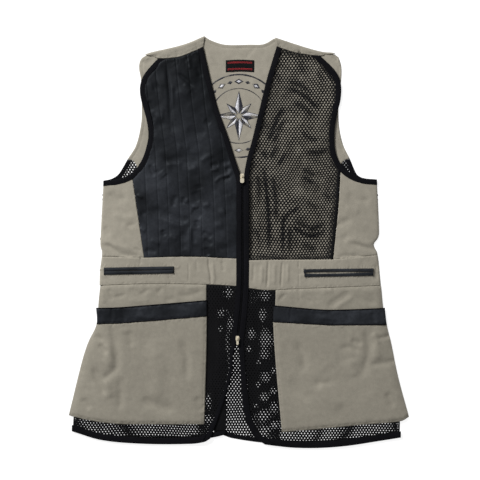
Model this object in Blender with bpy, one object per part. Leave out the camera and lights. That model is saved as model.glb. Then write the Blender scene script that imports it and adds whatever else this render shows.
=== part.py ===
"""A sleeveless shooting vest lying flat on its back, front up.

Sizes are in millimetres here and become metres in the mesh. X runs across the vest, Y runs up
towards the neck and Z is up from the surface that the vest lies on. Right and left are the
wearer's, so the right front is at negative X.
"""

import bmesh
import bpy
import numpy as np

for old in list(bpy.data.objects):
    bpy.data.objects.remove(old)

MM = 0.001

# Thickness of each material and the gap between pieces.
CLOTH = 1.2
LEATHER = 1.6
PAD = 2.0
BINDING = 2.2
BACK_BINDING = 1.7
GAP = 0.3
SEAM = GAP / 2

# Width of the bindings along the armholes and hems.
ARM_BAND = 10.6
BACK_ARM_BAND = 9.0
HEM_BAND = 12.0
BACK_HEM_BAND = 9.0

# The front lies on the back at its edges and stands a little off it further in.
EDGE_Z = 2.0
LOFT = 2.3
LOFT_REACH = 40.0
TOP_Z = 4.9

# Every stacked piece is cut by the same net of lines, so that the gaps between them stay even.
CELL = 24.0
COLUMNS = 15
ROWS = 18
STEP = 14.0
REACH = 26.0

# The right half of the back skirt laps over the left half along a vent at the centre.
VENT_INNER_X = -48.0
VENT_OUTER_X = -25.0
VENT_RAMP = (-58.0, -52.0)
VENT_LIFT = BACK_BINDING + GAP
VENT_FRONT_Z = VENT_LIFT + BACK_BINDING + GAP + 0.05

# Edges as rows of x, y.
EDGES = {
    "neck_back": ((-66, 398), (-56, 391), (-27, 382), (22, 382), (48, 383), (70, 395)),
    "shoulder_right": ((-66, 398), (-99, 384), (-127, 376), (-163, 368), (-177, 364), (-186, 359)),
    "shoulder_left": ((70, 395), (106, 383), (135, 374), (163, 367), (184, 365), (192, 360)),
    "yoke_neck_right": ((-66, 398), (-69, 377)),
    "yoke_neck_left": ((70, 395), (73, 378)),
    "yoke_right": ((-69, 377), (-89, 368), (-112, 359), (-137, 355), (-156, 355)),
    "yoke_left": ((73, 378), (106, 367), (141, 361), (157, 360)),
    "yoke_arm_right": ((-156, 355), (-170, 360), (-184, 362.5)),
    "yoke_arm_left": ((157, 360), (172, 363), (186, 364)),
    "arm_right": (
        (-156, 355), (-172, 338), (-183, 324), (-189, 311), (-191.5, 296), (-189.5, 277), (-179, 238),
        (-175, 211), (-177, 191), (-188, 158), (-208, 133), (-233, 122), (-261, 119),
    ),
    "arm_left": (
        (157, 360), (171, 347), (182, 336), (190.5, 324), (196, 311), (198, 294), (196, 272),
        (191, 252), (185, 211), (189, 167), (207, 140), (234, 125), (266, 121),
    ),
    "back_arm_right": (
        (-186, 359), (-192, 348), (-193, 335), (-190, 317), (-188, 268), (-189, 230),
        (-199, 187), (-216, 159), (-225, 143), (-234, 130), (-247, 122), (-261, 119),
    ),
    "back_arm_left": (
        (192, 360), (198, 340), (198, 315), (193, 268), (194, 223), (202, 187),
        (215, 160), (222, 143), (229, 130), (240, 124), (266, 121),
    ),
    "side_right": (
        (-261, 119), (-266, 23), (-267, -6), (-264, -20), (-268, -58), (-269, -104), (-271, -154),
        (-282, -193), (-293, -226), (-304, -268), (-314, -307), (-321, -339), (-322, -363),
    ),
    "side_left": (
        (266, 121), (270, 33), (269, 10), (260, -5), (267, -22), (274, -85), (279, -125),
        (279, -160), (286, -193), (299, -260), (303, -285), (312, -328), (312, -378),
    ),
    "pad_side": ((-205, 119), (-195, 52), (-183, -30)),
    "mesh_side": ((196, 128), (192, 65), (182, -32)),
    "band_top_right": ((-265, -28), (-183, -30), (-94, -28), (-4, -32)),
    "band_low_right": ((-267, -84), (-183, -81), (-62, -82), (-7, -85)),
    "band_top_left": ((20, -35), (99, -34), (184, -33), (268, -25)),
    "band_low_left": ((18, -89), (53, -93), (99, -91), (203, -87), (274, -84)),
    "hip_in_right": ((-62, -82), (-62, -145), (-63, -220), (-64, -352)),
    "hip_in_left": ((70, -92), (69, -153), (74, -234), (86, -367)),
    "hip_side_right": ((-267, -84), (-271, -125), (-271, -158), (-287, -193), (-309, -269), (-325, -335)),
    "hip_side_left": ((274, -84), (278, -127), (282, -160), (290, -193), (304, -261), (325, -338)),
    "trim_top_right": ((-276, -127), (-237, -126), (-183, -122), (-62, -112)),
    "trim_low_right": ((-275, -158), (-237, -157), (-183, -153), (-63, -143)),
    "trim_top_left": ((67, -122), (160, -130), (204, -130), (282, -127)),
    "trim_low_left": ((66, -154), (173, -160), (203, -160), (286, -160)),
    "pocket_in_right": ((-62, -112), (-62, -145), (-63, -220), (-67, -352)),
    "pocket_in_left": ((67, -122), (66, -153), (71, -234), (83, -367)),
    "pocket_side_right": ((-276, -127), (-275, -158), (-291, -193), (-302, -226), (-329, -335)),
    "pocket_side_left": ((282, -127), (286, -160), (294, -193), (308, -261), (329, -338)),
    "pocket_low_right": ((-329, -335), (-291, -344), (-237, -351), (-155, -352), (-67, -352)),
    "pocket_low_left": ((329, -338), (313, -346), (235, -353), (153, -361), (83, -367)),
    "hem_right": ((-55, -379), (-67, -386), (-94, -390), (-183, -390), (-264, -383), (-322, -366)),
    "hem_left": ((50, -391), (99, -397), (153, -398), (208, -394), (262, -386), (312, -378)),
    "back_waist": ((-268, -57), (0, -60), (270, -57)),
    "back_seam_right": ((-222, 160), (-205, 157), (-196, 140), (-190, 60), (-188, -57)),
    "back_seam_left": ((222, 163), (202, 156), (192, 135), (188, 60), (186, -57)),
    "back_hem_right": ((-322, -362), (-264, -380), (-171, -385), (-84, -383), (-46, -377), (-22, -371)),
    "back_hem_left": (
        (-50, -370), (-32, -373), (-15, -379), (45, -388), (118, -393), (208, -389), (312, -374),
    ),
    "zip": ((7, 120), (7, 23), (7, -79), (4, -127), (0, -166), (-3, -193)),
}

# Front edges from the yoke down the neckline and the zip to the hem, as rows of x, y and the
# width of the binding there.
FRONTS = {
    "front_right": (
        (-69, 377, 10.6), (-55, 316, 10.6), (-40, 257, 10.6), (-22, 207, 10.6), (-8, 163, 10.6),
        (2.6, 130, 10.6), (5.2, 112, 10.6), (5.2, 23, 10.6), (5.2, -79, 10.6), (2.2, -127, 10.6),
        (-1.8, -166, 10.0), (-4.8, -193, 9.0), (-11, -219, 7.0), (-13, -251, 6.5), (-25, -295, 7.0),
        (-41, -343, 8.0), (-55, -379, 10.0),
    ),
    "front_left": (
        (73, 378, 10.6), (54, 315, 11.0), (38, 249, 11.0), (25, 195, 10.6), (16, 163, 10.0),
        (10.2, 131, 9.6), (8.8, 112, 10.6), (8.8, 23, 10.6), (8.8, -79, 10.6), (5.8, -127, 10.6),
        (1.8, -166, 10.6), (-1.2, -193, 10.6), (1, -219, 10.0), (3, -251, 9.6), (6, -297, 12.0),
        (12, -338, 12.0), (28, -375, 11.5), (50, -391, 11.0),
    ),
}

# Soft ridges and hollows of the front, as rows of x0, y0, x1, y1, half width and height.
FOLDS = (
    (-135, 320, -132, 160, 22, 0.6),
    (-60, 170, -110, 90, 20, 0.5),
    (85, 285, 118, 60, 30, -1.3),
    (-255, -8, -190, -22, 14, 0.5),
    (220, -2, 262, -18, 14, 0.6),
    (-240, -210, -250, -330, 24, 0.5),
    (240, -205, 285, -260, 24, 0.6),
)

# Stitched lines of the gun pad, by x, with the rise of the leather between them.
PAD_STITCH_X = (-200, -178, -156, -135, -114, -95, -72, -47, -25, -2)
PAD_RISE = 0.9
PAD_ROW = 40.0

# Pocket lips on the waistband, as rows of side, x0, y0, x1, y1 and width.
LIPS = (
    ("right_upper", -261, -52.5, -125.5, -50.0, 6.2),
    ("right_lower", -261, -60.2, -125.5, -57.2, 6.2),
    ("left_upper", 125.0, -55.5, 260.0, -54.0, 6.2),
    ("left_lower", 126.5, -64.4, 259.5, -61.8, 6.2),
)

LABEL = (-25.5, 328.5, 29.5, 351.5)
LABEL_THICK = 0.8

# Where the zip's chain runs between the fronts, and its thickness.
CHAIN_TOP_Y = 121.0
CHAIN_LOW_Y = -192.0
CHAIN_THICK = 1.6

# Slider and pull tab of the zip.
SLIDER_LONG = 10.0
SLIDER_THICK = 1.8
BRIDGE_WIDE = 1.6
BRIDGE_HALF_LONG = 2.6
BRIDGE_BAR = 0.9
BRIDGE_HIGH = 3.6
BRIDGE_SUNK = 0.6
BRIDGE_CHAMFER = 0.6
PIN_THICK = 1.0
TAB_THICK = 1.2
TAB_SHOULDER = 1.2
TAB_STRAIGHT = 0.75
TAB_END = 0.55
EYE_HALF_WIDE = 1.3
EYE_REACH = 4.0
EYE_ARM = 0.9
EYE_CELL = (1, 1)

# Plan of a slider's plate, as shares of its half width and half length.
SLIDER_PLAN = (
    (-0.6, -1), (0.6, -1), (1, -0.4), (1, 0.6), (0.6, 1), (-0.6, 1), (-1, 0.6), (-1, -0.4),
)

# Sliders, as rows of name, x, y, slider width, tab width and tab length past the eye.
SLIDERS = (
    ("top", 6.2, 127.0, 7.6, 7.6, 9.0),
    ("bottom", -2.8, -186.0, 7.0, 4.4, 8.0),
)

INSIDE_RIGHT = (-120, 120)
INSIDE_LEFT = (110, 120)
INSIDE_LOWER_RIGHT = (-160, -240)
INSIDE_LOWER_LEFT = (170, -240)
INSIDE_BACK = (0, 150)


def curve(rows):
    """Points about STEP apart on a smooth line through the rows, in as many columns as they have."""
    knots = np.array(rows, float)
    before = 2 * knots[0] - knots[1]
    after = 2 * knots[-1] - knots[-2]
    knots = np.vstack((before, knots, after))
    points = [knots[1]]
    for i in range(1, len(knots) - 2):
        k0, k1, k2, k3 = knots[i - 1 : i + 3]
        pieces = max(1, int(round(np.hypot(*(k2 - k1)[:2]) / STEP)))
        span = np.hypot(*(k2 - k1)[:2])
        start = (k2 - k0) * span / (np.hypot(*(k2 - k0)[:2]) + 1e-9)
        end = (k3 - k1) * span / (np.hypot(*(k3 - k1)[:2]) + 1e-9)
        for j in range(1, pieces + 1):
            t = j / pieces
            rise = t * t * (3 - 2 * t)
            points.append(
                k1 * (1 - rise)
                + k2 * rise
                + start * (t * (1 - t) ** 2)
                - end * (t * t * (1 - t))
            )
    return np.array(points)


def shifted(line, distance, inside):
    """The line moved sideways by the distance, towards the side where the inside point is."""
    along = np.gradient(line, axis=0)
    along /= np.hypot(along[:, 0], along[:, 1])[:, None]
    normal = np.column_stack((-along[:, 1], along[:, 0]))
    middle = len(line) // 2
    towards = np.array(inside) - line[middle]
    side = 1.0 if normal[middle] @ towards > 0 else -1.0
    return line + normal * side * np.reshape(distance, (-1, 1))


def edge(name, distance=0.0, inside=(0, 0)):
    """A named edge, moved towards the inside point, and run on past both its ends."""
    if name in FRONTS:
        rows = curve(FRONTS[name])
        line = rows[:, :2]
    else:
        line = curve(EDGES[name])
    if distance:
        line = shifted(line, distance, inside)
    return extended(line)


def binding_edge(name, distance, inside):
    """The inner edge of a front's binding, moved on by the distance."""
    rows = curve(FRONTS[name])
    return extended(shifted(rows[:, :2], rows[:, 2] + distance, inside))


def extended(line):
    first = line[0] - line[1]
    last = line[-1] - line[-2]
    first = line[0] + first / np.hypot(*first) * REACH
    last = line[-1] + last / np.hypot(*last) * REACH
    return np.vstack((first, line, last))


def crossing(a, b):
    """Where two lines cross, as places along each and the point; the one nearest to their ends."""
    best = None
    for i in range(len(a) - 1):
        p = a[i]
        r = a[i + 1] - p
        q = b[:-1]
        s = b[1:] - q
        cross = r[0] * s[:, 1] - r[1] * s[:, 0]
        cross = np.where(np.abs(cross) < 1e-12, 1e-12, cross)
        gap = q - p
        t = (gap[:, 0] * s[:, 1] - gap[:, 1] * s[:, 0]) / cross
        u = (gap[:, 0] * r[1] - gap[:, 1] * r[0]) / cross
        for j in np.nonzero((t >= 0) & (t <= 1) & (u >= 0) & (u <= 1))[0]:
            point = p + r * t[j]
            from_ends = min(np.hypot(*(point - end)) for end in (a[1], a[-2]))
            from_ends += min(np.hypot(*(point - end)) for end in (b[1], b[-2]))
            if best is None or from_ends < best[0]:
                best = (from_ends, i + t[j], j + u[j], point)
    if best is None:
        raise ValueError(f"two edges don't cross: {a[1]} {a[-2]} and {b[1]} {b[-2]}")
    return best[1:]


def region(*lines):
    """The outline closed by lines that cross each other in turn."""
    count = len(lines)
    meets = [crossing(lines[i], lines[(i + 1) % count]) for i in range(count)]
    outline = []
    for i, line in enumerate(lines):
        start = meets[i - 1][1]
        end = meets[i][0]
        between = [k for k in range(len(line)) if min(start, end) + 0.05 < k < max(start, end) - 0.05]
        if start > end:
            between.reverse()
        outline.append(meets[i - 1][2])
        outline.extend(line[k] for k in between)
    return np.array(outline)


def distance_to(points, line):
    """How far each point is from the line."""
    nearest = np.full(len(points), np.inf)
    for a, b in zip(line[:-1], line[1:]):
        along = b - a
        t = np.clip((points - a) @ along / (along @ along + 1e-12), 0, 1)
        nearest = np.minimum(nearest, np.hypot(*(points - a - t[:, None] * along).T))
    return nearest


def inside_of(points, outline):
    """Whether each point is inside the outline."""
    inside = np.zeros(len(points), bool)
    for a, b in zip(outline, np.roll(outline, -1, axis=0)):
        crosses = (a[1] > points[:, 1]) != (b[1] > points[:, 1])
        rise = b[1] - a[1] if b[1] != a[1] else 1e-12
        inside ^= crosses & (points[:, 0] < a[0] + (points[:, 1] - a[1]) / rise * (b[0] - a[0]))
    return inside


def smooth(t):
    t = np.clip(t, 0, 1)
    return t * t * (3 - 2 * t)


def front_heights():
    """Height of the front's underside at each corner of the net of cells."""
    xs = np.arange(-COLUMNS, COLUMNS + 1) * CELL
    ys = np.arange(-ROWS, ROWS + 1) * CELL
    corners = np.array([(x, y) for x in xs for y in ys])
    height = np.full(len(corners), EDGE_Z)
    fronts = (
        ("right", INSIDE_RIGHT, "shoulder_right"),
        ("left", INSIDE_LEFT, "shoulder_left"),
    )
    for side, inside, shoulder in fronts:
        front = curve(FRONTS["front_" + side])[:, :2]
        rest = [curve(EDGES[name + "_" + side]) for name in ("arm", "side", "hem")]
        rest.append(curve(EDGES[shoulder]))
        rest.append(front[front[:, 1] > 150])
        rest.append(front[front[:, 1] < -215])
        nearest = np.min([distance_to(corners, line) for line in rest], axis=0)
        outline = region(
            extended(curve(EDGES["yoke_" + side])),
            edge("arm_" + side),
            edge("side_" + side),
            edge("hem_" + side),
            edge("front_" + side),
        )
        within = inside_of(corners, outline)
        rise = EDGE_Z + LOFT * smooth(nearest / LOFT_REACH)
        height = np.where(within, np.maximum(height, rise), height)
    zip_line = curve(EDGES["zip"])
    beside_zip = distance_to(corners, zip_line) < CELL
    height = np.where(beside_zip & (corners[:, 1] < 110), EDGE_Z + LOFT, height)
    for x0, y0, x1, y1, wide, high in FOLDS:
        away = distance_to(corners, np.array(((x0, y0), (x1, y1)), float))
        height = height + high * smooth(1 - away / (2 * wide))
    over_vent = (corners[:, 0] > VENT_RAMP[0] - CELL) & (corners[:, 0] < VENT_OUTER_X + CELL)
    over_vent &= corners[:, 1] < EDGES["back_waist"][0][1] + CELL
    height = np.where(over_vent, np.maximum(height, VENT_FRONT_Z), height)
    return np.clip(height, EDGE_Z, TOP_Z).reshape(len(xs), len(ys))


HEIGHTS = front_heights()


def front(x, y):
    """Height of the front's underside, which is flat within each half cell."""
    u = np.asarray(x) / CELL + COLUMNS
    v = np.asarray(y) / CELL + ROWS
    i = np.clip(np.floor(u).astype(int), 0, 2 * COLUMNS - 1)
    j = np.clip(np.floor(v).astype(int), 0, 2 * ROWS - 1)
    u = u - i
    v = v - j
    h00 = HEIGHTS[i, j]
    h10 = HEIGHTS[i + 1, j]
    h01 = HEIGHTS[i, j + 1]
    h11 = HEIGHTS[i + 1, j + 1]
    below = h00 + u * (h10 - h00) + v * (h11 - h10)
    above = h00 + v * (h01 - h00) + u * (h11 - h01)
    return np.where(u > v, below, above)


def front_plus(rise):
    return lambda x, y: front(x, y) + rise


def level(z):
    return lambda x, y: np.full(np.shape(x), float(z))


def vent(z):
    """A height of the right half of the back skirt, which steps up over the left half."""
    start, end = VENT_RAMP
    return lambda x, y: z + VENT_LIFT * np.clip((np.asarray(x) - start) / (end - start), 0, 1)


def pad_top(x, y):
    """The gun pad's upper side, which swells between the stitched lines."""
    lines = np.array(PAD_STITCH_X, float)
    i = np.clip(np.searchsorted(lines, x, side="right") - 1, 0, len(lines) - 2)
    across = np.clip((x - lines[i]) / (lines[i + 1] - lines[i]), 0, 1)
    return front(x, y) + PAD + PAD_RISE * 4 * across * (1 - across)


def net_lines(outline):
    """The lines of the net of cells that the outline reaches, as point and normal pairs."""
    lines = []
    low = outline.min(axis=0)
    high = outline.max(axis=0)
    for axis in (0, 1):
        for k in range(int(np.ceil(low[axis] / CELL)), int(np.floor(high[axis] / CELL)) + 1):
            lines.append(((k * CELL, 0) if axis == 0 else (0, k * CELL), (1 - axis, axis)))
    slant = outline[:, 0] - outline[:, 1]
    for k in range(int(np.ceil(slant.min() / CELL)), int(np.floor(slant.max() / CELL)) + 1):
        lines.append(((k * CELL, 0), (1, -1)))
    return lines


def pad_lines(outline):
    """Cutting lines of the gun pad: each stitched line, two between, and rows."""
    lines = []
    for a, b in zip(PAD_STITCH_X[:-1], PAD_STITCH_X[1:]):
        for part in (0, 1 / 3, 2 / 3):
            lines.append(((a + (b - a) * part, 0), (1, 0)))
    for y in np.arange(-1, 9) * PAD_ROW:
        lines.append(((0, y), (0, 1)))
    return lines


def wall(name, outline, low, high, lines=None):
    """A cloth wall between two heights over the outline."""
    flat = bmesh.new()
    flat.faces.new([flat.verts.new((x, y, 0)) for x, y in outline])
    for point, normal in net_lines(outline) if lines is None else lines:
        bmesh.ops.bisect_plane(
            flat,
            geom=flat.verts[:] + flat.edges[:] + flat.faces[:],
            dist=0.02,
            plane_co=(*point, 0),
            plane_no=(*normal, 0),
        )
    bmesh.ops.triangulate(flat, faces=flat.faces[:])
    flat.normal_update()
    if sum(face.normal.z * face.calc_area() for face in flat.faces) < 0:
        bmesh.ops.reverse_faces(flat, faces=flat.faces[:])
    flat.verts.index_update()
    plan = np.array([vert.co[:2] for vert in flat.verts])
    faces = [[vert.index for vert in face.verts] for face in flat.faces]
    rims = [
        (loop.vert.index, loop.link_loop_next.vert.index)
        for face in flat.faces
        for loop in face.loops
        if loop.edge.is_boundary
    ]
    flat.free()
    count = len(plan)
    top = np.column_stack((plan, high(plan[:, 0], plan[:, 1])))
    bottom = np.column_stack((plan, low(plan[:, 0], plan[:, 1])))
    polygons = list(faces)
    polygons += [[count + i for i in reversed(face)] for face in faces]
    polygons += [[b, a, count + a, count + b] for a, b in rims]
    return solid(name, np.vstack((top, bottom)), polygons)


def solid(name, points, polygons):
    mesh = bpy.data.meshes.new(name)
    mesh.from_pydata((np.asarray(points, float) * MM).tolist(), [], polygons)
    made = bpy.data.objects.new(name, mesh)
    bpy.context.scene.collection.objects.link(made)
    return made


def strip(x0, y0, x1, y1, wide):
    """The outline of a straight strip with its centre line between two points."""
    a = np.array((x0, y0), float)
    b = np.array((x1, y1), float)
    along = (b - a) / np.hypot(*(b - a))
    across = np.array((-along[1], along[0])) * wide / 2
    return np.array((a - across, b - across, b + across, a + across))


def prism(section, low, high):
    """Points and faces of a section given by rows of x, y, between two heights."""
    count = len(section)
    points = [(x, y, low) for x, y in section] + [(x, y, high) for x, y in section]
    faces = [list(range(count))[::-1], list(range(count, 2 * count))]
    faces += [[i, (i + 1) % count, count + (i + 1) % count, count + i] for i in range(count)]
    return points, faces


def add_back():
    """The back: one cloth panel, a net insert below each armhole and a net skirt in two halves."""
    back_edges = {side: edge("back_arm_" + side) for side in ("right", "left")}
    wall(
        "back_panel",
        region(
            edge("neck_back"),
            edge("shoulder_left"),
            back_edges["left"],
            edge("back_seam_left", SEAM, INSIDE_BACK),
            edge("back_waist", SEAM, INSIDE_BACK),
            edge("back_seam_right", SEAM, INSIDE_BACK),
            back_edges["right"],
            edge("shoulder_right"),
        ),
        level(0),
        level(CLOTH),
        (),
    )
    for side, outer in (("right", (-300, 0)), ("left", (300, 0))):
        wall(
            "back_mesh_side_" + side,
            region(
                edge("back_arm_" + side, BACK_ARM_BAND + GAP, (0, 0)),
                edge("side_" + side),
                edge("back_waist", SEAM, INSIDE_BACK),
                edge("back_seam_" + side, SEAM, outer),
            ),
            level(0),
            level(CLOTH),
            (),
        )
        wall(
            "back_armhole_binding_" + side,
            region(
                edge("back_arm_" + side),
                edge("side_" + side),
                edge("back_arm_" + side, BACK_ARM_BAND, (0, 0)),
                edge("back_seam_" + side, SEAM, outer),
            ),
            level(0),
            level(BACK_BINDING),
            (),
        )
    ramp = [((x, 0), (1, 0)) for x in VENT_RAMP]
    halves = (
        ("right", INSIDE_LOWER_RIGHT, VENT_OUTER_X, vent, ramp),
        ("left", INSIDE_LOWER_LEFT, VENT_INNER_X, level, ()),
    )
    for side, inside, vent_x, height, lines in halves:
        opening = np.array(((vent_x, 0), (vent_x, -420)), float)
        wall(
            "back_skirt_" + side,
            region(
                edge("back_waist", SEAM, inside),
                opening,
                edge("back_hem_" + side, BACK_HEM_BAND + GAP, inside),
                edge("side_" + side),
            ),
            height(0),
            height(CLOTH),
            lines,
        )
        wall(
            "back_hem_binding_" + side,
            region(
                edge("back_hem_" + side, BACK_HEM_BAND, inside),
                opening,
                edge("back_hem_" + side),
                edge("side_" + side),
            ),
            height(0),
            height(BACK_BINDING),
            lines,
        )
    x0, y0, x1, y1 = LABEL
    wall(
        "neck_label",
        np.array(((x0, y0), (x1, y0), (x1, y1), (x0, y1)), float),
        level(CLOTH + GAP),
        level(CLOTH + GAP + LABEL_THICK),
        (),
    )


def add_front(side, inside, inside_lower, chest_name, chest_side):
    """One front: yoke, chest, side panel, waistband, skirt, pocket and bindings."""
    above = (inside[0], 390)
    wall(
        "shoulder_yoke_" + side,
        region(
            edge("shoulder_" + side),
            edge("yoke_arm_" + side),
            edge("yoke_" + side, SEAM, above),
            edge("yoke_neck_" + side),
        ),
        front,
        front_plus(CLOTH),
    )
    inner_front = binding_edge("front_" + side, GAP, inside)
    inner_arm = edge("arm_" + side, ARM_BAND + GAP, inside)
    chest = region(
        edge("yoke_" + side, SEAM, inside),
        inner_arm,
        edge(chest_side, SEAM, inside),
        edge("band_top_" + side, SEAM, inside),
        inner_front,
    )
    if chest_name == "gun_pad":
        wall(chest_name, chest, front, pad_top, pad_lines(chest))
    else:
        wall(chest_name, chest, front, front_plus(CLOTH))
    beyond = (inside[0] * 3, inside[1])
    wall(
        "side_panel_" + side,
        region(
            inner_arm,
            edge("side_" + side),
            edge("band_top_" + side, SEAM, inside),
            edge(chest_side, SEAM, beyond),
        ),
        front,
        front_plus(CLOTH),
    )
    wall(
        "waistband_" + side,
        region(
            edge("band_top_" + side, SEAM, inside_lower),
            inner_front,
            edge("band_low_" + side, SEAM, inside),
            edge("side_" + side),
        ),
        front,
        front_plus(CLOTH),
    )
    wall(
        "front_skirt_" + side,
        region(
            edge("band_low_" + side, SEAM, inside_lower),
            inner_front,
            edge("hem_" + side, HEM_BAND + GAP, inside_lower),
            edge("side_" + side),
        ),
        front,
        front_plus(CLOTH),
    )
    hip_low = CLOTH + GAP
    wall(
        "hip_panel_" + side,
        region(
            edge("band_low_" + side, SEAM, inside_lower),
            edge("hip_in_" + side, 1.0, inside_lower),
            edge("pocket_low_" + side, 4.0, inside_lower),
            edge("hip_side_" + side),
        ),
        front_plus(hip_low),
        front_plus(hip_low + CLOTH),
    )
    pocket_low = hip_low + CLOTH + GAP
    wall(
        "pocket_" + side,
        region(
            edge("trim_low_" + side, SEAM, inside_lower),
            edge("pocket_in_" + side),
            edge("pocket_low_" + side),
            edge("pocket_side_" + side),
        ),
        front_plus(pocket_low),
        front_plus(pocket_low + CLOTH),
    )
    wall(
        "pocket_trim_" + side,
        region(
            edge("trim_top_" + side),
            edge("pocket_in_" + side),
            edge("trim_low_" + side, SEAM, inside),
            edge("pocket_side_" + side),
        ),
        front_plus(pocket_low),
        front_plus(pocket_low + LEATHER),
    )
    wall(
        "armhole_binding_" + side,
        region(
            edge("arm_" + side),
            edge("side_" + side),
            edge("arm_" + side, ARM_BAND, inside),
            edge("yoke_" + side, SEAM, inside),
        ),
        front,
        front_plus(BINDING),
    )
    wall(
        "front_binding_" + side,
        region(
            edge("front_" + side),
            edge("hem_" + side),
            binding_edge("front_" + side, 0, inside),
            edge("yoke_" + side, SEAM, inside),
        ),
        front,
        front_plus(BINDING),
    )
    wall(
        "front_hem_binding_" + side,
        region(
            edge("hem_" + side),
            edge("side_" + side),
            edge("hem_" + side, HEM_BAND, inside_lower),
            inner_front,
        ),
        front,
        front_plus(BINDING),
    )


def add_lips():
    """Two leather lips of each waistband pocket."""
    low = CLOTH + GAP
    for side, x0, y0, x1, y1, wide in LIPS:
        wall(
            "pocket_lip_" + side,
            strip(x0, y0, x1, y1, wide),
            front_plus(low),
            front_plus(low + LEATHER),
        )


def add_zip():
    """The chain, and at each end a slider with a bridge that a pull tab hangs from."""
    sides = []
    for name, towards in (("front_right", (200, 0)), ("front_left", (-200, 0))):
        line = shifted(curve(FRONTS[name])[:, :2], GAP, towards)
        sides.append(line[(line[:, 1] < CHAIN_TOP_Y) & (line[:, 1] > CHAIN_LOW_Y)])
    wall("zip_chain", np.vstack((sides[0], sides[1][::-1])), front, front_plus(CHAIN_THICK))
    for name, x, y, wide, tab_wide, tab_long in SLIDERS:
        add_slider(name, x, y, wide, tab_wide, tab_long)


def add_slider(name, x, y, wide, tab_wide, tab_long):
    """A slider plate lying on both bindings, with a bridge along Y over an open tunnel."""
    half = wide / 2
    half_long = SLIDER_LONG / 2
    corners = np.array([(x + i * half, y + j * half_long) for i in (-1, 0, 1) for j in (-1, 0, 1)])
    base = front(corners[:, 0], corners[:, 1]).max() + BINDING + GAP
    top = base + SLIDER_THICK
    plate = [(x + across * half, y + along * half_long) for across, along in SLIDER_PLAN]
    body = solid("zip_slider_" + name, *prism(plate, base, top))
    inner = BRIDGE_HALF_LONG - BRIDGE_BAR
    ceiling = BRIDGE_HIGH - BRIDGE_BAR
    profile = (
        (-BRIDGE_HALF_LONG, -BRIDGE_SUNK), (-inner, -BRIDGE_SUNK), (-inner, ceiling), (inner, ceiling),
        (inner, -BRIDGE_SUNK), (BRIDGE_HALF_LONG, -BRIDGE_SUNK),
        (BRIDGE_HALF_LONG, BRIDGE_HIGH - BRIDGE_CHAMFER), (BRIDGE_HALF_LONG - BRIDGE_CHAMFER, BRIDGE_HIGH),
        (-BRIDGE_HALF_LONG + BRIDGE_CHAMFER, BRIDGE_HIGH), (-BRIDGE_HALF_LONG, BRIDGE_HIGH - BRIDGE_CHAMFER),
    )
    points, faces = prism(profile, -BRIDGE_WIDE / 2, BRIDGE_WIDE / 2)
    points = [(x + across, y + along, top + up) for along, up, across in points]
    bridge = solid("zip_bridge_" + name, points, faces)
    bridge.hide_render = True
    join = body.modifiers.new("bridge", "BOOLEAN")
    join.operation = "UNION"
    join.solver = "EXACT"
    join.object = bridge
    add_tab(name, x, y, top + ceiling / 2, tab_wide, tab_long)


def add_tab(name, x, y, z, wide, long):
    """A pull tab whose pin runs through the tunnel, with an eye that clears the bridge."""
    arm = EYE_HALF_WIDE + EYE_ARM
    half = max(wide / 2, arm)
    # Rows across the tab from the pin down, as y from the pin and half width.
    rows = (
        (PIN_THICK / 2, arm),
        (-PIN_THICK / 2, arm),
        (-EYE_REACH, arm),
        (-EYE_REACH - TAB_SHOULDER, half),
        (-EYE_REACH - long * TAB_STRAIGHT, half),
        (-EYE_REACH - long, half * TAB_END),
    )
    columns = (-arm, -EYE_HALF_WIDE, EYE_HALF_WIDE, arm)
    plan = [(x + across * reach / arm, y + down) for down, reach in rows for across in columns]
    cells = []
    for row in range(len(rows) - 1):
        for column in range(len(columns) - 1):
            if (row, column) == EYE_CELL:
                continue
            corner = row * len(columns) + column
            cells.append((corner, corner + len(columns), corner + len(columns) + 1, corner + 1))
    count = len(plan)
    points = [(px, py, z - TAB_THICK / 2) for px, py in plan]
    points += [(px, py, z + TAB_THICK / 2) for px, py in plan]
    faces = [[count + i for i in cell] for cell in cells]
    faces += [list(reversed(cell)) for cell in cells]
    sides = {(a, b) for cell in cells for a, b in zip(cell, cell[1:] + cell[:1])}
    faces += [[a, b, count + b, count + a] for a, b in sorted(sides) if (b, a) not in sides]
    solid("zip_pull_" + name, points, faces)


def centre_all():
    """Moves all so that the middle of the bounding box's underside is the origin."""
    points = np.array([vert.co[:] for made in bpy.data.objects for vert in made.data.vertices])
    low = points.min(axis=0)
    high = points.max(axis=0)
    shift = ((low[0] + high[0]) / 2, (low[1] + high[1]) / 2, low[2])
    for made in bpy.data.objects:
        for vert in made.data.vertices:
            vert.co = [vert.co[k] - shift[k] for k in range(3)]


add_back()
add_front("right", INSIDE_RIGHT, INSIDE_LOWER_RIGHT, "gun_pad", "pad_side")
add_front("left", INSIDE_LEFT, INSIDE_LOWER_LEFT, "chest_mesh", "mesh_side")
add_lips()
add_zip()
centre_all()
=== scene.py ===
"""The look of the shooting vest: cloth, net, leather, bindings, stitching, zip and light.

Sizes are in millimetres in the tables and become metres in the meshes. X runs across the vest,
Y runs up towards the neck and Z is up from the floor. Right and left are the wearer's, so the
right front is at negative X.
"""

import math

import bpy
import numpy as np
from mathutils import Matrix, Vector
from mathutils.geometry import delaunay_2d_cdt


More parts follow.
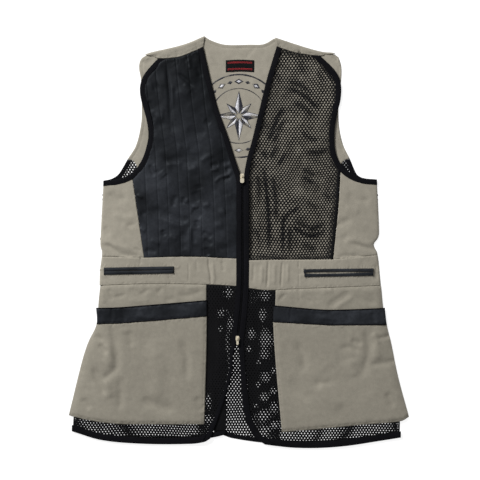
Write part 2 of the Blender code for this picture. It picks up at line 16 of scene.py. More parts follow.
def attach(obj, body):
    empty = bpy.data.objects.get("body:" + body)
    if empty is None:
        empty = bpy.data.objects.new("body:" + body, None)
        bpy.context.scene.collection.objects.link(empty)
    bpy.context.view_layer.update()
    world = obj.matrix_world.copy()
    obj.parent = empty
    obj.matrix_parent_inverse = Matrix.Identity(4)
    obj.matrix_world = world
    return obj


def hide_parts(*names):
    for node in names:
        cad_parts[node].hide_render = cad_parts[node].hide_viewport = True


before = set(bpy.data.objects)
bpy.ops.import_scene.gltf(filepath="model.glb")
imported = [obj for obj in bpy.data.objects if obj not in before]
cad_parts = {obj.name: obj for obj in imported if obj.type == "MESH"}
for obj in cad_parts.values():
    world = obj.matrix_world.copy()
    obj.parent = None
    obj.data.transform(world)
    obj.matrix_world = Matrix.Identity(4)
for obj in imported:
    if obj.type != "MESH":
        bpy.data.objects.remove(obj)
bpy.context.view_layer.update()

MM = 0.001

# The solids are moved this far to put the middle of their box at the origin.
CENTRE = np.array((0.0, 0.112, 0.0))

# Thickness of each material and the gap between pieces.
CLOTH = 1.2
LEATHER = 1.6
PAD = 2.0
BACK_BINDING = 1.7
GAP = 0.3
SEAM = GAP / 2

# Width of the bindings along the armholes and hems.
ARM_BAND = 10.6
BACK_ARM_BAND = 9.0
HEM_BAND = 12.0
BACK_HEM_BAND = 9.0

# The front lies on the back at its edges and stands a little off it further in.
EDGE_Z = 2.0
LOFT = 2.3
LOFT_REACH = 40.0
TOP_Z = 4.9

# Every stacked piece is cut by the same net of lines, so that the gaps between them stay even.
CELL = 24.0
COLUMNS = 15
ROWS = 18
STEP = 14.0
REACH = 26.0

# The right half of the back skirt laps over the left half along a vent at the centre.
VENT_INNER_X = -48.0
VENT_OUTER_X = -25.0
VENT_RAMP = (-58.0, -52.0)
VENT_LIFT = BACK_BINDING + GAP
VENT_FRONT_Z = VENT_LIFT + BACK_BINDING + GAP + 0.05

# Edges as rows of x, y.
EDGES = {
    "neck_back": ((-66, 398), (-56, 391), (-27, 382), (22, 382), (48, 383), (70, 395)),
    "shoulder_right": ((-66, 398), (-99, 384), (-127, 376), (-163, 368), (-177, 364), (-186, 359)),
    "shoulder_left": ((70, 395), (106, 383), (135, 374), (163, 367), (184, 365), (192, 360)),
    "yoke_neck_right": ((-66, 398), (-69, 377)),
    "yoke_neck_left": ((70, 395), (73, 378)),
    "yoke_right": ((-69, 377), (-89, 368), (-112, 359), (-137, 355), (-156, 355)),
    "yoke_left": ((73, 378), (106, 367), (141, 361), (157, 360)),
    "yoke_arm_right": ((-156, 355), (-170, 360), (-184, 362.5)),
    "yoke_arm_left": ((157, 360), (172, 363), (186, 364)),
    "arm_right": (
        (-156, 355), (-172, 338), (-183, 324), (-189, 311), (-191.5, 296), (-189.5, 277), (-179, 238),
        (-175, 211), (-177, 191), (-188, 158), (-208, 133), (-233, 122), (-261, 119),
    ),
    "arm_left": (
        (157, 360), (171, 347), (182, 336), (190.5, 324), (196, 311), (198, 294), (196, 272),
        (191, 252), (185, 211), (189, 167), (207, 140), (234, 125), (266, 121),
    ),
    "back_arm_right": (
        (-186, 359), (-192, 348), (-193, 335), (-190, 317), (-188, 268), (-189, 230),
        (-199, 187), (-216, 159), (-225, 143), (-234, 130), (-247, 122), (-261, 119),
    ),
    "back_arm_left": (
        (192, 360), (198, 340), (198, 315), (193, 268), (194, 223), (202, 187),
        (215, 160), (222, 143), (229, 130), (240, 124), (266, 121),
    ),
    "side_right": (
        (-261, 119), (-266, 23), (-267, -6), (-264, -20), (-268, -58), (-269, -104), (-271, -154),
        (-282, -193), (-293, -226), (-304, -268), (-314, -307), (-321, -339), (-322, -363),
    ),
    "side_left": (
        (266, 121), (270, 33), (269, 10), (260, -5), (267, -22), (274, -85), (279, -125),
        (279, -160), (286, -193), (299, -260), (303, -285), (312, -328), (312, -378),
    ),
    "pad_side": ((-205, 119), (-195, 52), (-183, -30)),
    "mesh_side": ((196, 128), (192, 65), (182, -32)),
    "band_top_right": ((-265, -28), (-183, -30), (-94, -28), (-4, -32)),
    "band_low_right": ((-267, -84), (-183, -81), (-62, -82), (-7, -85)),
    "band_top_left": ((20, -35), (99, -34), (184, -33), (268, -25)),
    "band_low_left": ((18, -89), (53, -93), (99, -91), (203, -87), (274, -84)),
    "hip_in_right": ((-62, -82), (-62, -145), (-63, -220), (-64, -352)),
    "hip_in_left": ((70, -92), (69, -153), (74, -234), (86, -367)),
    "hip_side_right": ((-267, -84), (-271, -125), (-271, -158), (-287, -193), (-309, -269), (-325, -335)),
    "hip_side_left": ((274, -84), (278, -127), (282, -160), (290, -193), (304, -261), (325, -338)),
    "trim_top_right": ((-276, -127), (-237, -126), (-183, -122), (-62, -112)),
    "trim_low_right": ((-275, -158), (-237, -157), (-183, -153), (-63, -143)),
    "trim_top_left": ((67, -122), (160, -130), (204, -130), (282, -127)),
    "trim_low_left": ((66, -154), (173, -160), (203, -160), (286, -160)),
    "pocket_in_right": ((-62, -112), (-62, -145), (-63, -220), (-67, -352)),
    "pocket_in_left": ((67, -122), (66, -153), (71, -234), (83, -367)),
    "pocket_side_right": ((-276, -127), (-275, -158), (-291, -193), (-302, -226), (-329, -335)),
    "pocket_side_left": ((282, -127), (286, -160), (294, -193), (308, -261), (329, -338)),
    "pocket_low_right": ((-329, -335), (-291, -344), (-237, -351), (-155, -352), (-67, -352)),
    "pocket_low_left": ((329, -338), (313, -346), (235, -353), (153, -361), (83, -367)),
    "hem_right": ((-55, -379), (-67, -386), (-94, -390), (-183, -390), (-264, -383), (-322, -366)),
    "hem_left": ((50, -391), (99, -397), (153, -398), (208, -394), (262, -386), (312, -378)),
    "back_waist": ((-268, -57), (0, -60), (270, -57)),
    "back_seam_right": ((-222, 160), (-205, 157), (-196, 140), (-190, 60), (-188, -57)),
    "back_seam_left": ((222, 163), (202, 156), (192, 135), (188, 60), (186, -57)),
    "back_hem_right": ((-322, -362), (-264, -380), (-171, -385), (-84, -383), (-46, -377), (-22, -371)),
    "back_hem_left": (
        (-50, -370), (-32, -373), (-15, -379), (45, -388), (118, -393), (208, -389), (312, -374),
    ),
    "zip": ((7, 120), (7, 23), (7, -79), (4, -127), (0, -166), (-3, -193)),
}

# Front edges from the yoke down the neckline and the zip to the hem, as rows of x, y and the
# width of the binding there.
FRONTS = {
    "front_right": (
        (-69, 377, 10.6), (-55, 316, 10.6), (-40, 257, 10.6), (-22, 207, 10.6), (-8, 163, 10.6),
        (2.6, 130, 10.6), (5.2, 112, 10.6), (5.2, 23, 10.6), (5.2, -79, 10.6), (2.2, -127, 10.6),
        (-1.8, -166, 10.0), (-4.8, -193, 9.0), (-11, -219, 7.0), (-13, -251, 6.5), (-25, -295, 7.0),
        (-41, -343, 8.0), (-55, -379, 10.0),
    ),
    "front_left": (
        (73, 378, 10.6), (54, 315, 11.0), (38, 249, 11.0), (25, 195, 10.6), (16, 163, 10.0),
        (10.2, 131, 9.6), (8.8, 112, 10.6), (8.8, 23, 10.6), (8.8, -79, 10.6), (5.8, -127, 10.6),
        (1.8, -166, 10.6), (-1.2, -193, 10.6), (1, -219, 10.0), (3, -251, 9.6), (6, -297, 12.0),
        (12, -338, 12.0), (28, -375, 11.5), (50, -391, 11.0),
    ),
}

# Soft ridges and hollows of the front, as rows of x0, y0, x1, y1, half width and height.
FOLDS = (
    (-135, 320, -132, 160, 22, 0.6), (-60, 170, -110, 90, 20, 0.5), (85, 285, 118, 60, 30, -1.3),
    (-255, -8, -190, -22, 14, 0.5), (220, -2, 262, -18, 14, 0.6), (-240, -210, -250, -330, 24, 0.5),
    (240, -205, 285, -260, 24, 0.6),
)

# Pocket lips on the waistband, as rows of side, x0, y0, x1, y1 and width.
LIPS = (
    ("right_upper", -261, -52.5, -125.5, -50.0, 6.2), ("right_lower", -261, -60.2, -125.5, -57.2, 6.2),
    ("left_upper", 125.0, -55.5, 260.0, -54.0, 6.2), ("left_lower", 126.5, -64.4, 259.5, -61.8, 6.2),
)

# The label's box as x0, y0, x1, y1, and the spacing of satin threads.
LABEL = (-25.5, 328.5, 29.5, 351.5)
SATIN_PITCH = 0.62

# Where the zip's chain starts and ends, how wide its tape is and how far the coils lie from its middle.
CHAIN_TOP_Y = 121.0
CHAIN_LOW_Y = -192.0
ZIP_WIDE = 5.0
COIL_X = 0.7

# Creases of each piece, as rows of points in turn, half width and height.
CREASES = {
    "pad": (
        ((-141, 346, -136, 301, -133, 257, -130, 205), 1.9, -0.9), ((-129, 305, -128, 255), 2.2, 0.5),
        ((-119, 327, -101, 312, -86, 297), 2.0, -0.9), ((-107, 306, -91, 289), 2.4, 0.5),
        ((-123, 287, -108, 288, -92, 286), 5.0, 0.5), ((-164, 243, -143, 241), 6.0, 0.5),
        ((-172, 220, -137, 228, -114, 218), 7.0, -0.5),
        ((-152, 158, -119, 157, -98, 160, -73, 162, -60, 165), 5.5, -1.2),
        ((-143, 147, -121, 152, -106, 149), 4.0, 0.7), ((-100, 137, -79, 143), 4.0, 0.6),
        ((-77, 154, -63, 163, -48, 169), 3.2, 0.8), ((-55, 138, -39, 141), 1.8, 0.9),
        ((-31, 127, -20, 130, -13, 139), 1.8, 1.0), ((-47, 113, -39, 123, -26, 128), 1.8, 0.8),
        ((-38, 152, -17, 156), 3.0, -0.9), ((-26, 138, -17, 145), 2.2, -1.0),
        ((-31, 121, -15, 125), 2.8, -0.8), ((-56, 148, -38, 150), 2.8, -0.8),
        ((-172, 151, -167, 135, -162, 126), 2.2, -0.9), ((-165, 151, -159, 135), 2.4, 0.5),
        ((-152, 137, -143, 126), 5.0, 0.6), ((-128, 66, -125, 82, -119, 91), 2.8, -0.8),
        ((-109, 72, -106, 88), 2.4, -0.7), ((-103, 74, -99, 85), 2.4, 0.6),
        ((-87, 99, -84, 87, -79, 75), 3.6, -0.7), ((-79, 112, -75, 101), 3.4, -0.4),
        ((-178, 65, -158, 60, -147, 55, -128, 48, -116, 45, -107, 42, -98, 48, -90, 54), 4.0, -1.3),
        ((-152, 47, -129, 37, -110, 32, -94, 41), 4.0, 0.6), ((-92, 61, -82, 54, -72, 47), 3.2, -1.2),
        ((-91, 65, -85, 69, -77, 66), 2.0, 0.8), ((-70, 68, -55, 74), 2.8, 0.6),
        ((-109, 23, -108, 2, -104, -17), 3.6, -0.9), ((-93, 33, -95, 8, -93, -23), 2.2, 1.0),
        ((-87, 27, -85, -4), 3.6, -0.6), ((-71, 20, -52, 8), 2.8, -1.0), ((-69, 5, -50, -5), 2.8, -0.8),
        ((-82, 43, -80, 27), 2.8, -0.9), ((-65, -10, -60, -28), 2.8, -1.0),
        ((-148, 24, -143, 11), 2.2, -0.9), ((-183, -17, -172, -16, -158, -19), 2.8, -0.8),
        ((-172, 4, -150, -3), 3.4, 0.5), ((-197, 92, -185, 84), 1.4, 0.6),
        ((-137, 12, -118, 4), 4.0, 0.5), ((-40, 54, -25, 60), 5.0, 0.5),
        ((-36, 89, -15, 95), 4.0, -0.5), ((-48, 31, -29, 34), 4.0, 0.5),
        ((-44, -15, -19, -9), 4.0, -0.6), ((-191, 54, -177, 57), 3.0, -0.6),
        ((-193, 27, -179, 21), 3.0, 0.5), ((-168, 297, -152, 301), 6.0, -0.4),
        ((-175, 274, -166, 251), 3.0, -0.5), ((-102, 216, -79, 211, -60, 214), 5.0, -0.5),
        ((-121, 185, -94, 182), 6.0, 0.4), ((-67, 236, -54, 228), 3.0, -0.5),
        ((-83, 340, -73, 317), 3.0, -0.5), ((-98, 355, -94, 332), 2.4, 0.5),
    ),
    "chest_net": (
        ((47, 162, 48, 147, 54, 89, 57, 54, 58, 4, 57, -33), 4.2, -1.7),
        ((64, 139, 70, 81, 72, 27), 4.5, 0.8), ((35, 139, 41, 72), 5.0, 0.7),
        ((104, 70, 98, 56, 87, 47, 85, 12, 85, -33), 4.0, -1.6), ((101, 39, 97, 4, 99, -27), 4.5, 0.8),
        ((95, 35, 106, 29, 139, 12, 174, 27), 5.0, -1.5),
        ((102, 45, 122, 33, 145, 27, 170, 41), 5.0, 0.8), ((74, 147, 83, 160, 94, 176), 4.0, -1.3),
        ((58, 162, 77, 187), 4.5, 0.8), ((118, 72, 108, 62, 95, 54), 4.0, -1.2),
        ((118, 130, 131, 122, 151, 110), 4.5, -1.2), ((122, 143, 149, 128), 4.5, 0.7),
        ((48, 189, 60, 205, 77, 245, 93, 270), 4.5, -1.5), ((62, 187, 74, 211, 91, 243), 4.5, 0.8),
        ((81, 301, 104, 294, 120, 288, 141, 270, 160, 249), 5.0, -1.5),
        ((91, 313, 114, 305, 139, 290), 5.5, 0.8), ((99, 268, 122, 263, 145, 241), 5.5, 0.8),
        ((45, 178, 56, 158), 4.0, -1.0), ((37, 240, 45, 209), 4.0, 0.6),
        ((118, 351, 126, 321), 5.0, -0.7), ((149, 332, 168, 309), 4.0, -1.0),
        ((160, 344, 184, 305), 3.5, 0.6), ((118, 220, 137, 201, 168, 193), 5.0, -0.9),
        ((126, 178, 153, 174, 178, 182), 5.0, 0.7), ((160, 97, 180, 81), 4.0, -0.9),
        ((128, 81, 153, 62), 5.0, 0.7), ((33, 31, 41, -8), 4.0, -0.8), ((118, -4, 153, -15), 5.0, 0.6),
        ((72, 328, 81, 301), 4.0, -0.7),
    ),
    "side_right": (
        ((-270, -5, -249, -9, -233, -21, -214, -25, -189, -26), 3.0, -0.9),
        ((-264, 6, -237, -6, -202, -15), 4.5, 0.5), ((-204, -11, -187, -19), 2.0, -0.5),
        ((-218, 31, -199, 34), 3.0, -0.5), ((-253, 97, -233, 83, -214, 87), 6.0, -0.5),
        ((-245, 54, -222, 47, -199, 50), 6.0, 0.4), ((-260, 31, -249, 12), 4.0, -0.4),
    ),
    "side_left": (
        ((187, 29, 203, 39, 218, 43), 4.5, -0.9), ((199, 2, 212, 15), 5.0, -0.6),
        ((185, -30, 214, -26, 245, -29), 2.6, -0.6), ((211, 0, 228, -6, 249, -12, 267, -17), 2.8, -0.9),
        ((214, 10, 238, 0, 261, -4), 4.5, 0.5), ((207, 97, 226, 81, 257, 83), 6.0, -0.5),
        ((203, 66, 234, 56), 6.0, 0.4),
    ),
    "band_right": (
        ((-59, -27, -58, -46, -55, -65, -54, -85), 1.5, -0.9),
        ((-51, -35, -49, -58, -47, -81), 2.6, 0.5), ((-98, -38, -97, -62, -98, -81), 1.1, -0.3),
        ((-191, -29, -189, -44), 1.6, -0.4), ((-33, -35, -29, -58), 3.0, -0.4),
        ((-83, -33, -80, -58), 2.6, -0.25), ((-260, -38, -256, -73), 3.0, 0.3),
        ((-137, -65, -129, -79), 2.0, -0.25),
    ),
    "band_left": (
        ((57, -33, 56, -54, 55, -75, 53, -92), 1.5, -0.9),
        ((84, -35, 83, -54, 82, -73, 81, -91), 1.5, -0.8), ((69, -38, 68, -85), 3.4, 0.5),
        ((45, -42, 43, -85), 3.0, 0.4), ((115, -35, 116, -52), 1.3, -0.4),
        ((29, -38, 27, -81), 2.6, -0.35), ((95, -38, 94, -81), 2.6, 0.35),
        ((265, -38, 267, -75), 3.0, -0.3), ((116, -56, 116, -89), 1.1, -0.25),
    ),
    "hip_right": (
        ((-252, -89, -248, -100, -242, -114), 2.4, -0.9),
        ((-243, -106, -231, -105, -216, -100), 2.4, -0.6),
        ((-194, -104, -183, -97, -171, -89), 2.6, -0.6),
        ((-158, -101, -152, -92, -146, -84), 2.6, -0.5),
        ((-121, -97, -108, -104, -89, -101, -67, -92), 4.0, -0.5),
        ((-216, -111, -193, -114, -170, -112), 5.0, 0.4), ((-102, -89, -79, -86), 4.0, 0.35),
        ((-264, -96, -260, -118), 3.0, 0.4), ((-145, -112, -121, -110), 4.0, -0.35),
    ),
    "hip_left": (
        ((76, -114, 83, -107, 91, -98), 2.2, -0.6),
        ((168, -126, 182, -118, 197, -108, 218, -95), 4.2, -1.1),
        ((184, -128, 203, -116, 222, -106), 4.0, 0.6), ((116, -81, 116, -119), 1.1, -0.3),
        ((120, -102, 130, -110, 143, -119), 2.0, -0.4), ((128, -95, 141, -106, 155, -118), 2.0, -0.35),
        ((222, -102, 245, -114, 268, -118), 4.0, -0.5), ((160, -96, 184, -92), 4.0, 0.4),
        ((238, -92, 261, -98), 4.0, 0.35), ((95, -89, 104, -110), 3.0, 0.3),
    ),
    "pocket_right": (
        ((-249, -158, -241, -183, -237, -208, -232, -250), 6.0, -0.6),
        ((-231, -236, -245, -252, -264, -264), 5.5, -0.4),
        ((-283, -240, -271, -266, -257, -297), 5.2, -0.65), ((-270, -195, -253, -216), 4.4, -0.5),
        ((-279, -179, -260, -190), 4.0, -0.4), ((-259, -190, -251, -215, -250, -246), 8.0, 0.32),
        ((-258, -262, -247, -303), 7.0, 0.4), ((-231, -256, -228, -292, -232, -330), 6.5, -0.35),
        ((-191, -301, -152, -318, -118, -322), 8.0, -0.5),
        ((-114, -185, -100, -224, -102, -270), 6.5, -0.45),
        ((-176, -190, -156, -248, -160, -312), 13.0, 0.45), ((-214, -170, -206, -204), 6.0, -0.35),
        ((-83, -297, -69, -328), 6.0, -0.4), ((-303, -301, -287, -324), 5.0, -0.4),
    ),
    "pocket_left": (
        ((239, -160, 251, -198, 246, -232, 234, -268), 7.0, -0.45),
        ((248, -237, 274, -234, 308, -228), 5.0, -0.45), ((192, -208, 214, -203, 236, -214), 5.5, -0.3),
        ((143, -268, 163, -272, 186, -268), 6.0, -0.25),
        ((264, -186, 281, -184, 296, -178), 3.4, -0.35), ((265, -192, 270, -228), 8.0, 0.35),
        ((213, -224, 221, -262), 9.0, 0.35), ((95, -262, 116, -287, 141, -307), 8.0, -0.3),
        ((110, -189, 124, -220, 126, -255), 7.0, -0.4), ((153, -270, 176, -305, 203, -320), 9.0, 0.5),
        ((216, -189, 238, -197), 4.0, -0.4), ((284, -289, 299, -320), 5.0, -0.4),
        ((257, -174, 272, -199), 5.0, 0.4),
    ),
    "trim_right": (
        ((-224, -123, -223, -141, -220, -160), 3.6, -0.5), ((-245, -125, -245, -156), 3.0, -0.35),
        ((-272, -125, -271, -160), 2.2, 0.4), ((-191, -123, -187, -150), 6.0, 0.35),
        ((-152, -129, -121, -121, -94, -127), 3.4, -0.35), ((-94, -114, -83, -139), 5.0, 0.3),
        ((-202, -143, -160, -146), 2.6, 0.3),
    ),
    "trim_left": (
        ((99, -125, 99, -154), 0.9, -0.5), ((122, -133, 157, -138, 191, -133), 3.4, -0.4),
        ((153, -146, 195, -150), 3.0, 0.35), ((207, -129, 214, -156), 5.0, -0.4),
        ((278, -129, 282, -160), 2.2, 0.4), ((257, -127, 261, -158), 4.0, -0.35),
        ((234, -137, 265, -135), 3.0, 0.3),
    ),
    "yoke_right": (
        ((-158, 361, -129, 367, -102, 376), 3.0, 0.3), ((-83, 384, -79, 371), 2.0, -0.5),
        ((-172, 361, -156, 355), 2.4, -0.5), ((-121, 373, -118, 357), 2.4, -0.3),
    ),
    "yoke_left": (
        ((87, 380, 118, 371, 149, 366), 3.0, 0.3), ((77, 386, 79, 373), 2.0, -0.5),
        ((160, 365, 174, 360), 2.2, -0.5), ((118, 377, 116, 361), 2.4, -0.3),
    ),
    "back": (
        ((3, 365, 13, 357, 22, 367, 33, 378), 2.0, -0.5), ((15, 249, 19, 240, 23, 229), 1.8, -0.45),
        ((180, 358, 185, 355, 191, 349), 1.6, -0.7), ((189, 355, 195, 340), 1.6, 0.5),
        ((192, 251, 197, 216, 203, 174), 2.2, -0.4), ((-182, 345, -172, 350, -163, 350), 2.4, -0.6),
        ((-193, 328, -189, 282), 3.0, -0.3), ((-187, 351, -175, 358), 2.2, 0.4),
        ((-21, 351, -9, 323), 3.0, -0.3), ((-33, 120, -9, 89), 4.0, -0.3),
        ((-199, 240, -202, 185), 2.4, -0.3), ((-63, 371, -48, 340), 4.0, 0.3),
        ((37, 355, 52, 324), 4.0, -0.3),
    ),
    "back_net": (
        ((-38, -339, -36, -367, -33, -395), 4.0, 0.5), ((-21, -305, -23, -382), 6.0, 0.4),
        ((-172, -92, -152, -305), 14.0, 0.4), ((157, -112, 176, -324), 14.0, 0.4),
        ((21, -170, 25, -343), 10.0, 0.4),
    ),
    "skirt_right": (
        ((-52, -112, -44, -189, -48, -266), 5.0, -0.8), ((-33, -92, -25, -170, -29, -251), 5.0, 0.35),
        ((-58, -170, -38, -201), 4.0, -0.5), ((-44, -289, -33, -328, -38, -363), 5.0, -0.8),
        ((-54, -228, -48, -343), 4.0, 0.7), ((-262, -300, -218, -362, -176, -420), 10.0, -2.0),
        ((-326, -290, -313, -350, -290, -410), 9.0, -2.0),
        ((-55, -130, -54, -200, -57, -262, -52, -300), 12.0, -1.5),
    ),
    "skirt_left": (
        ((33, -112, 38, -189, 33, -266), 4.0, -0.9), ((52, -104, 60, -181, 56, -262), 5.0, 0.3),
        ((40, -194, 66, -206, 72, -232), 2.5, -0.5), ((25, -258, 36, -309, 33, -374), 5.0, -0.9),
        ((58, -289, 64, -363), 5.0, 0.3), ((170, -425, 211, -364, 254, -300), 10.0, -2.0),
        ((280, -290, 301, -352, 316, -415), 9.0, -2.0), ((130, -420, 154, -371, 178, -320), 8.0, -1.6),
        ((45, -150, 60, -135), 3.0, -0.7),
    ),
}

# Points inside each front, each lower front and the back.
INSIDE_RIGHT = (-120, 120)
INSIDE_LEFT = (110, 120)
INSIDE_LOWER_RIGHT = (-160, -240)
INSIDE_LOWER_LEFT = (170, -240)
INSIDE_BACK = (0, 150)

# Net: hexagonal holes in staggered rows, as corners of a cell round its middle.
NET_X = 5.8
NET_Y = 4.5
NET_CELL = np.array(
    ((0, 3.184), (2.9, 1.316), (2.9, -1.316), (0, -3.184), (-2.9, -1.316), (-2.9, 1.316))
)
# How large the holes are in their cells, across and along.
CHEST_HOLE = (0.55, 0.61)
SKIRT_HOLE = {"right": (0.36, 0.44), "left": (0.42, 0.52)}
BACK_HOLE = (0.28, 0.34)
INSERT_HOLE = {"right": (0.38, 0.48), "left": (0.2, 0.27)}
# The nets of the skirts open towards the hem, as heights and sizes of their holes.
HEM_OPENING = ((-375, -330, -250, -100), (1.22, 1.1, 0.95, 0.9))
# The back net has slipped under the fronts, so that the two nets line up only in patches,
# which are rows of x, y, half width and half height.
SLIP = (2.35, 1.1)
SLIP_UNEVEN = 0.4
ALIGNED = (
    (-22.8, -96, 12.5, 14), (-34.3, -135, 10.5, 9.5), (-17.5, -157, 8, 19), (-36.4, -168, 6.5, 9.5),
    (-22.8, -199, 7, 28), (-58.7, -305, 7, 17), (-61, -340, 8, 9), (50.6, -105, 10, 12),
    (45.2, -140, 9.5, 15), (51.5, -186, 15, 26), (24.3, -178, 8, 13), (20.1, -208, 6, 7),
    (48.9, -219, 12, 10), (37.2, -232, 5, 7), (65.3, -247, 6, 8), (48.9, -260, 12, 12),
    (33.7, -275, 5, 7), (47.7, -300, 12, 11), (64.1, -288, 7, 9), (33.7, -317, 6, 6),
    (65.3, -319, 9, 11), (46.6, -333, 11, 9), (68.8, -353, 9, 8), (51.3, -364, 10, 10),
)
# Past this x and below this y, each with the width of its fade, the nets line up by this share.
HEM_ALIGNED = ((72.0, 14.0), (-325.0, 20.0))
HEM_ALIGNED_SHARE = 0.95
# How far in under the fronts the slip gets whole.
SLIP_REACH = 14.0
# Share of a patch's size at which the slip starts, and over how much more of it the slip grows.
PATCH_CORE = 0.1
PATCH_FADE = 1.5
# How much lower the threads' edges lie than their middle, how high a net lies on its ground and how
# far in from the side folds it ends.
NET_SPIKE = 0.3
NET_RISE = 0.9
NET_INSET = 3.6
# How far nets reach under the bindings and past the seams, on the front and on the back.
NET_UNDER = 5.5
NET_PAST = 3.0
BACK_NET_UNDER = 4.0
BACK_NET_PAST = 2.5
# How far the cotton and the pad reach under the bindings, and where the folded edges lie.
CLOTH_UNDER = 3.0
FOLDED = -0.8
# How far the back's edges lie inside the front's.
BACK_INSET = 1.2
# The pull of a crease that closes the holes by the most, and the net's share of its outline.
CLOSING_PULL = 1.6
# How far the chest net hangs over the back, and how far from its edges it gets there.
NET_REST = 0.8
NET_SAG_REACH = 16.0

# How much stronger than in their table the creases of each piece are.
CREASE_GAIN = {
    "pad": 4.6, "chest_net": 0.5, "back_net": 1.0, "skirt_right": 0.8, "skirt_left": 0.8,
    "pocket_right": 8.5, "pocket_left": 8.0, "trim_right": 6.0, "trim_left": 6.0,
}
CLOTH_GAIN = 4.0
# How deep creases get at most, where the layers below leave more room or less than under most pieces.
CREASE_DEEPEST = {
    "pocket_right": 3.0, "pocket_left": 3.0, "pad": 2.5, "trim_right": 1.7, "trim_left": 1.7,
    "hip_right": 1.3, "hip_left": 1.3, "back": 0.8,
}
PUCKER_GAIN = 1.5
PAD_CREASES_WIDER = 1.4
# The pad's swell between its lines, the depth and half width of the lines, and its uneven lumps.
PAD_SWELL = 0.3
PAD_LINE_DEEP = 0.75
PAD_LINE_WIDE = 0.85
PAD_LUMPS = 0.6

# Where the pad's first channel starts and where its stitched lines lie, by x at the height of its
# middle, and how they lean, as rows of y, shift.
PAD_FIRST_X = -205.0
PAD_LINES_X = (-178, -155.7, -136.1, -113.9, -95.3, -72, -47.5, -25.3)
PAD_LEAN = ((-40, 2.6), (-29, 2.3), (66, 0), (178, -5.8), (257, -17), (351, -27), (380, -31))

# Profiles of a band, as rows of share of its width, more width and height over the ground.
BAND = (
    (0, 0.5, 0.1), (0, 0.0, 0.7), (0, 0.1, 1.4), (0, 0.7, 1.95), (0, 1.8, 2.15), (0.5, 0, 2.2),
    (1, -3.0, 2.12), (1, -2.2, 1.8), (1, -1.5, 2.05), (1, -0.6, 1.9), (1, 0, 1.35), (1, -0.4, 0.5),
)
BACK_BAND = tuple((share, more, high * 0.77) for share, more, high in BAND)


def curve(rows, step=4.0):
    """Points about a step apart on a smooth line through the rows, in as many columns as they have."""
    knots = np.array(rows, float)
    knots = np.vstack((2 * knots[0] - knots[1], knots, 2 * knots[-1] - knots[-2]))
    points = [knots[1]]
    for i in range(1, len(knots) - 2):
        k0, k1, k2, k3 = knots[i - 1 : i + 3]
        span = np.hypot(*(k2 - k1)[:2])
        pieces = max(1, int(round(span / step)))
        start = (k2 - k0) * span / (np.hypot(*(k2 - k0)[:2]) + 1e-9)
        end = (k3 - k1) * span / (np.hypot(*(k3 - k1)[:2]) + 1e-9)
        for j in range(1, pieces + 1):
            t = j / pieces
            rise = t * t * (3 - 2 * t)
            points.append(
                k1 * (1 - rise) + k2 * rise + start * (t * (1 - t) ** 2) - end * (t * t * (1 - t))
            )
    return np.array(points)


def shifted(line, distance, inside):
    """The line moved sideways by the distance, towards the side where the inside point is."""
    along = np.gradient(line, axis=0)
    along /= np.hypot(along[:, 0], along[:, 1])[:, None]
    normal = np.column_stack((-along[:, 1], along[:, 0]))
    middle = len(line) // 2
    side = 1.0 if normal[middle] @ (np.array(inside) - line[middle]) > 0 else -1.0
    return line + normal * side * np.reshape(distance, (-1, 1))


def extended(line):
    first = line[0] - line[1]
    last = line[-1] - line[-2]
    first = line[0] + first / np.hypot(*first) * REACH
    last = line[-1] + last / np.hypot(*last) * REACH
    return np.vstack((first, line, last))


def edge(name, distance=0.0, inside=(0, 0)):
    """A named edge, moved towards the inside point, and run on past both its ends."""
    line = curve(FRONTS[name] if name in FRONTS else EDGES[name])[:, :2]
    return extended(shifted(line, distance, inside) if distance else line)


def binding_edge(name, distance, inside):
    """The inner edge of a front's binding, moved on by the distance."""
    rows = curve(FRONTS[name])
    return extended(shifted(rows[:, :2], rows[:, 2] + distance, inside))


def crossing(a, b):
    """Where two lines cross, as places along each and the point; the one nearest to their ends."""
    best = None
    q = b[:-1]
    s = b[1:] - q
    for i in range(len(a) - 1):
        p = a[i]
        r = a[i + 1] - p
        cross = r[0] * s[:, 1] - r[1] * s[:, 0]
        cross = np.where(np.abs(cross) < 1e-12, 1e-12, cross)
        gap = q - p
        t = (gap[:, 0] * s[:, 1] - gap[:, 1] * s[:, 0]) / cross
        u = (gap[:, 0] * r[1] - gap[:, 1] * r[0]) / cross
        for j in np.nonzero((t >= 0) & (t <= 1) & (u >= 0) & (u <= 1))[0]:
            point = p + r * t[j]
            from_ends = min(np.hypot(*(point - end)) for end in (a[1], a[-2]))
            from_ends += min(np.hypot(*(point - end)) for end in (b[1], b[-2]))
            if best is None or from_ends < best[0]:
                best = (from_ends, i + t[j], j + u[j], point)
    if best is None:
        raise ValueError(f"two edges don't cross: {a[1]} {a[-2]} and {b[1]} {b[-2]}")
    return best[1:]


def part_of(line, start, end):
    """The points of a line between two places along it, in that order, ends left out."""
    between = [k for k in range(len(line)) if min(start, end) + 0.25 < k < max(start, end) - 0.25]
    return line[between[::-1] if start > end else between]


def region(*lines):
    """The outline closed by lines that cross each other in turn."""
    count = len(lines)
    meets = [crossing(lines[i], lines[(i + 1) % count]) for i in range(count)]
    outline = []
    for i, line in enumerate(lines):
        outline.append(meets[i - 1][2])
        outline.extend(part_of(line, meets[i - 1][1], meets[i][0]))
    return np.array(outline)


def between(line, first, last):
    """The stretch of a line from where it crosses the first line to where it crosses the last."""
    start = crossing(line, first)
    end = crossing(line, last)
    return np.vstack((start[2], part_of(line, start[0], end[0]), end[2]))


def resampled(line, count):
    """The line as that many points, evenly spaced."""
    run = np.concatenate(((0,), np.cumsum(np.hypot(*np.diff(line[:, :2], axis=0).T))))
    at = np.linspace(0, run[-1], count)
    return np.column_stack([np.interp(at, run, column) for column in line.T])


def length_of(line):
    return float(np.hypot(*np.diff(line[:, :2], axis=0).T).sum())


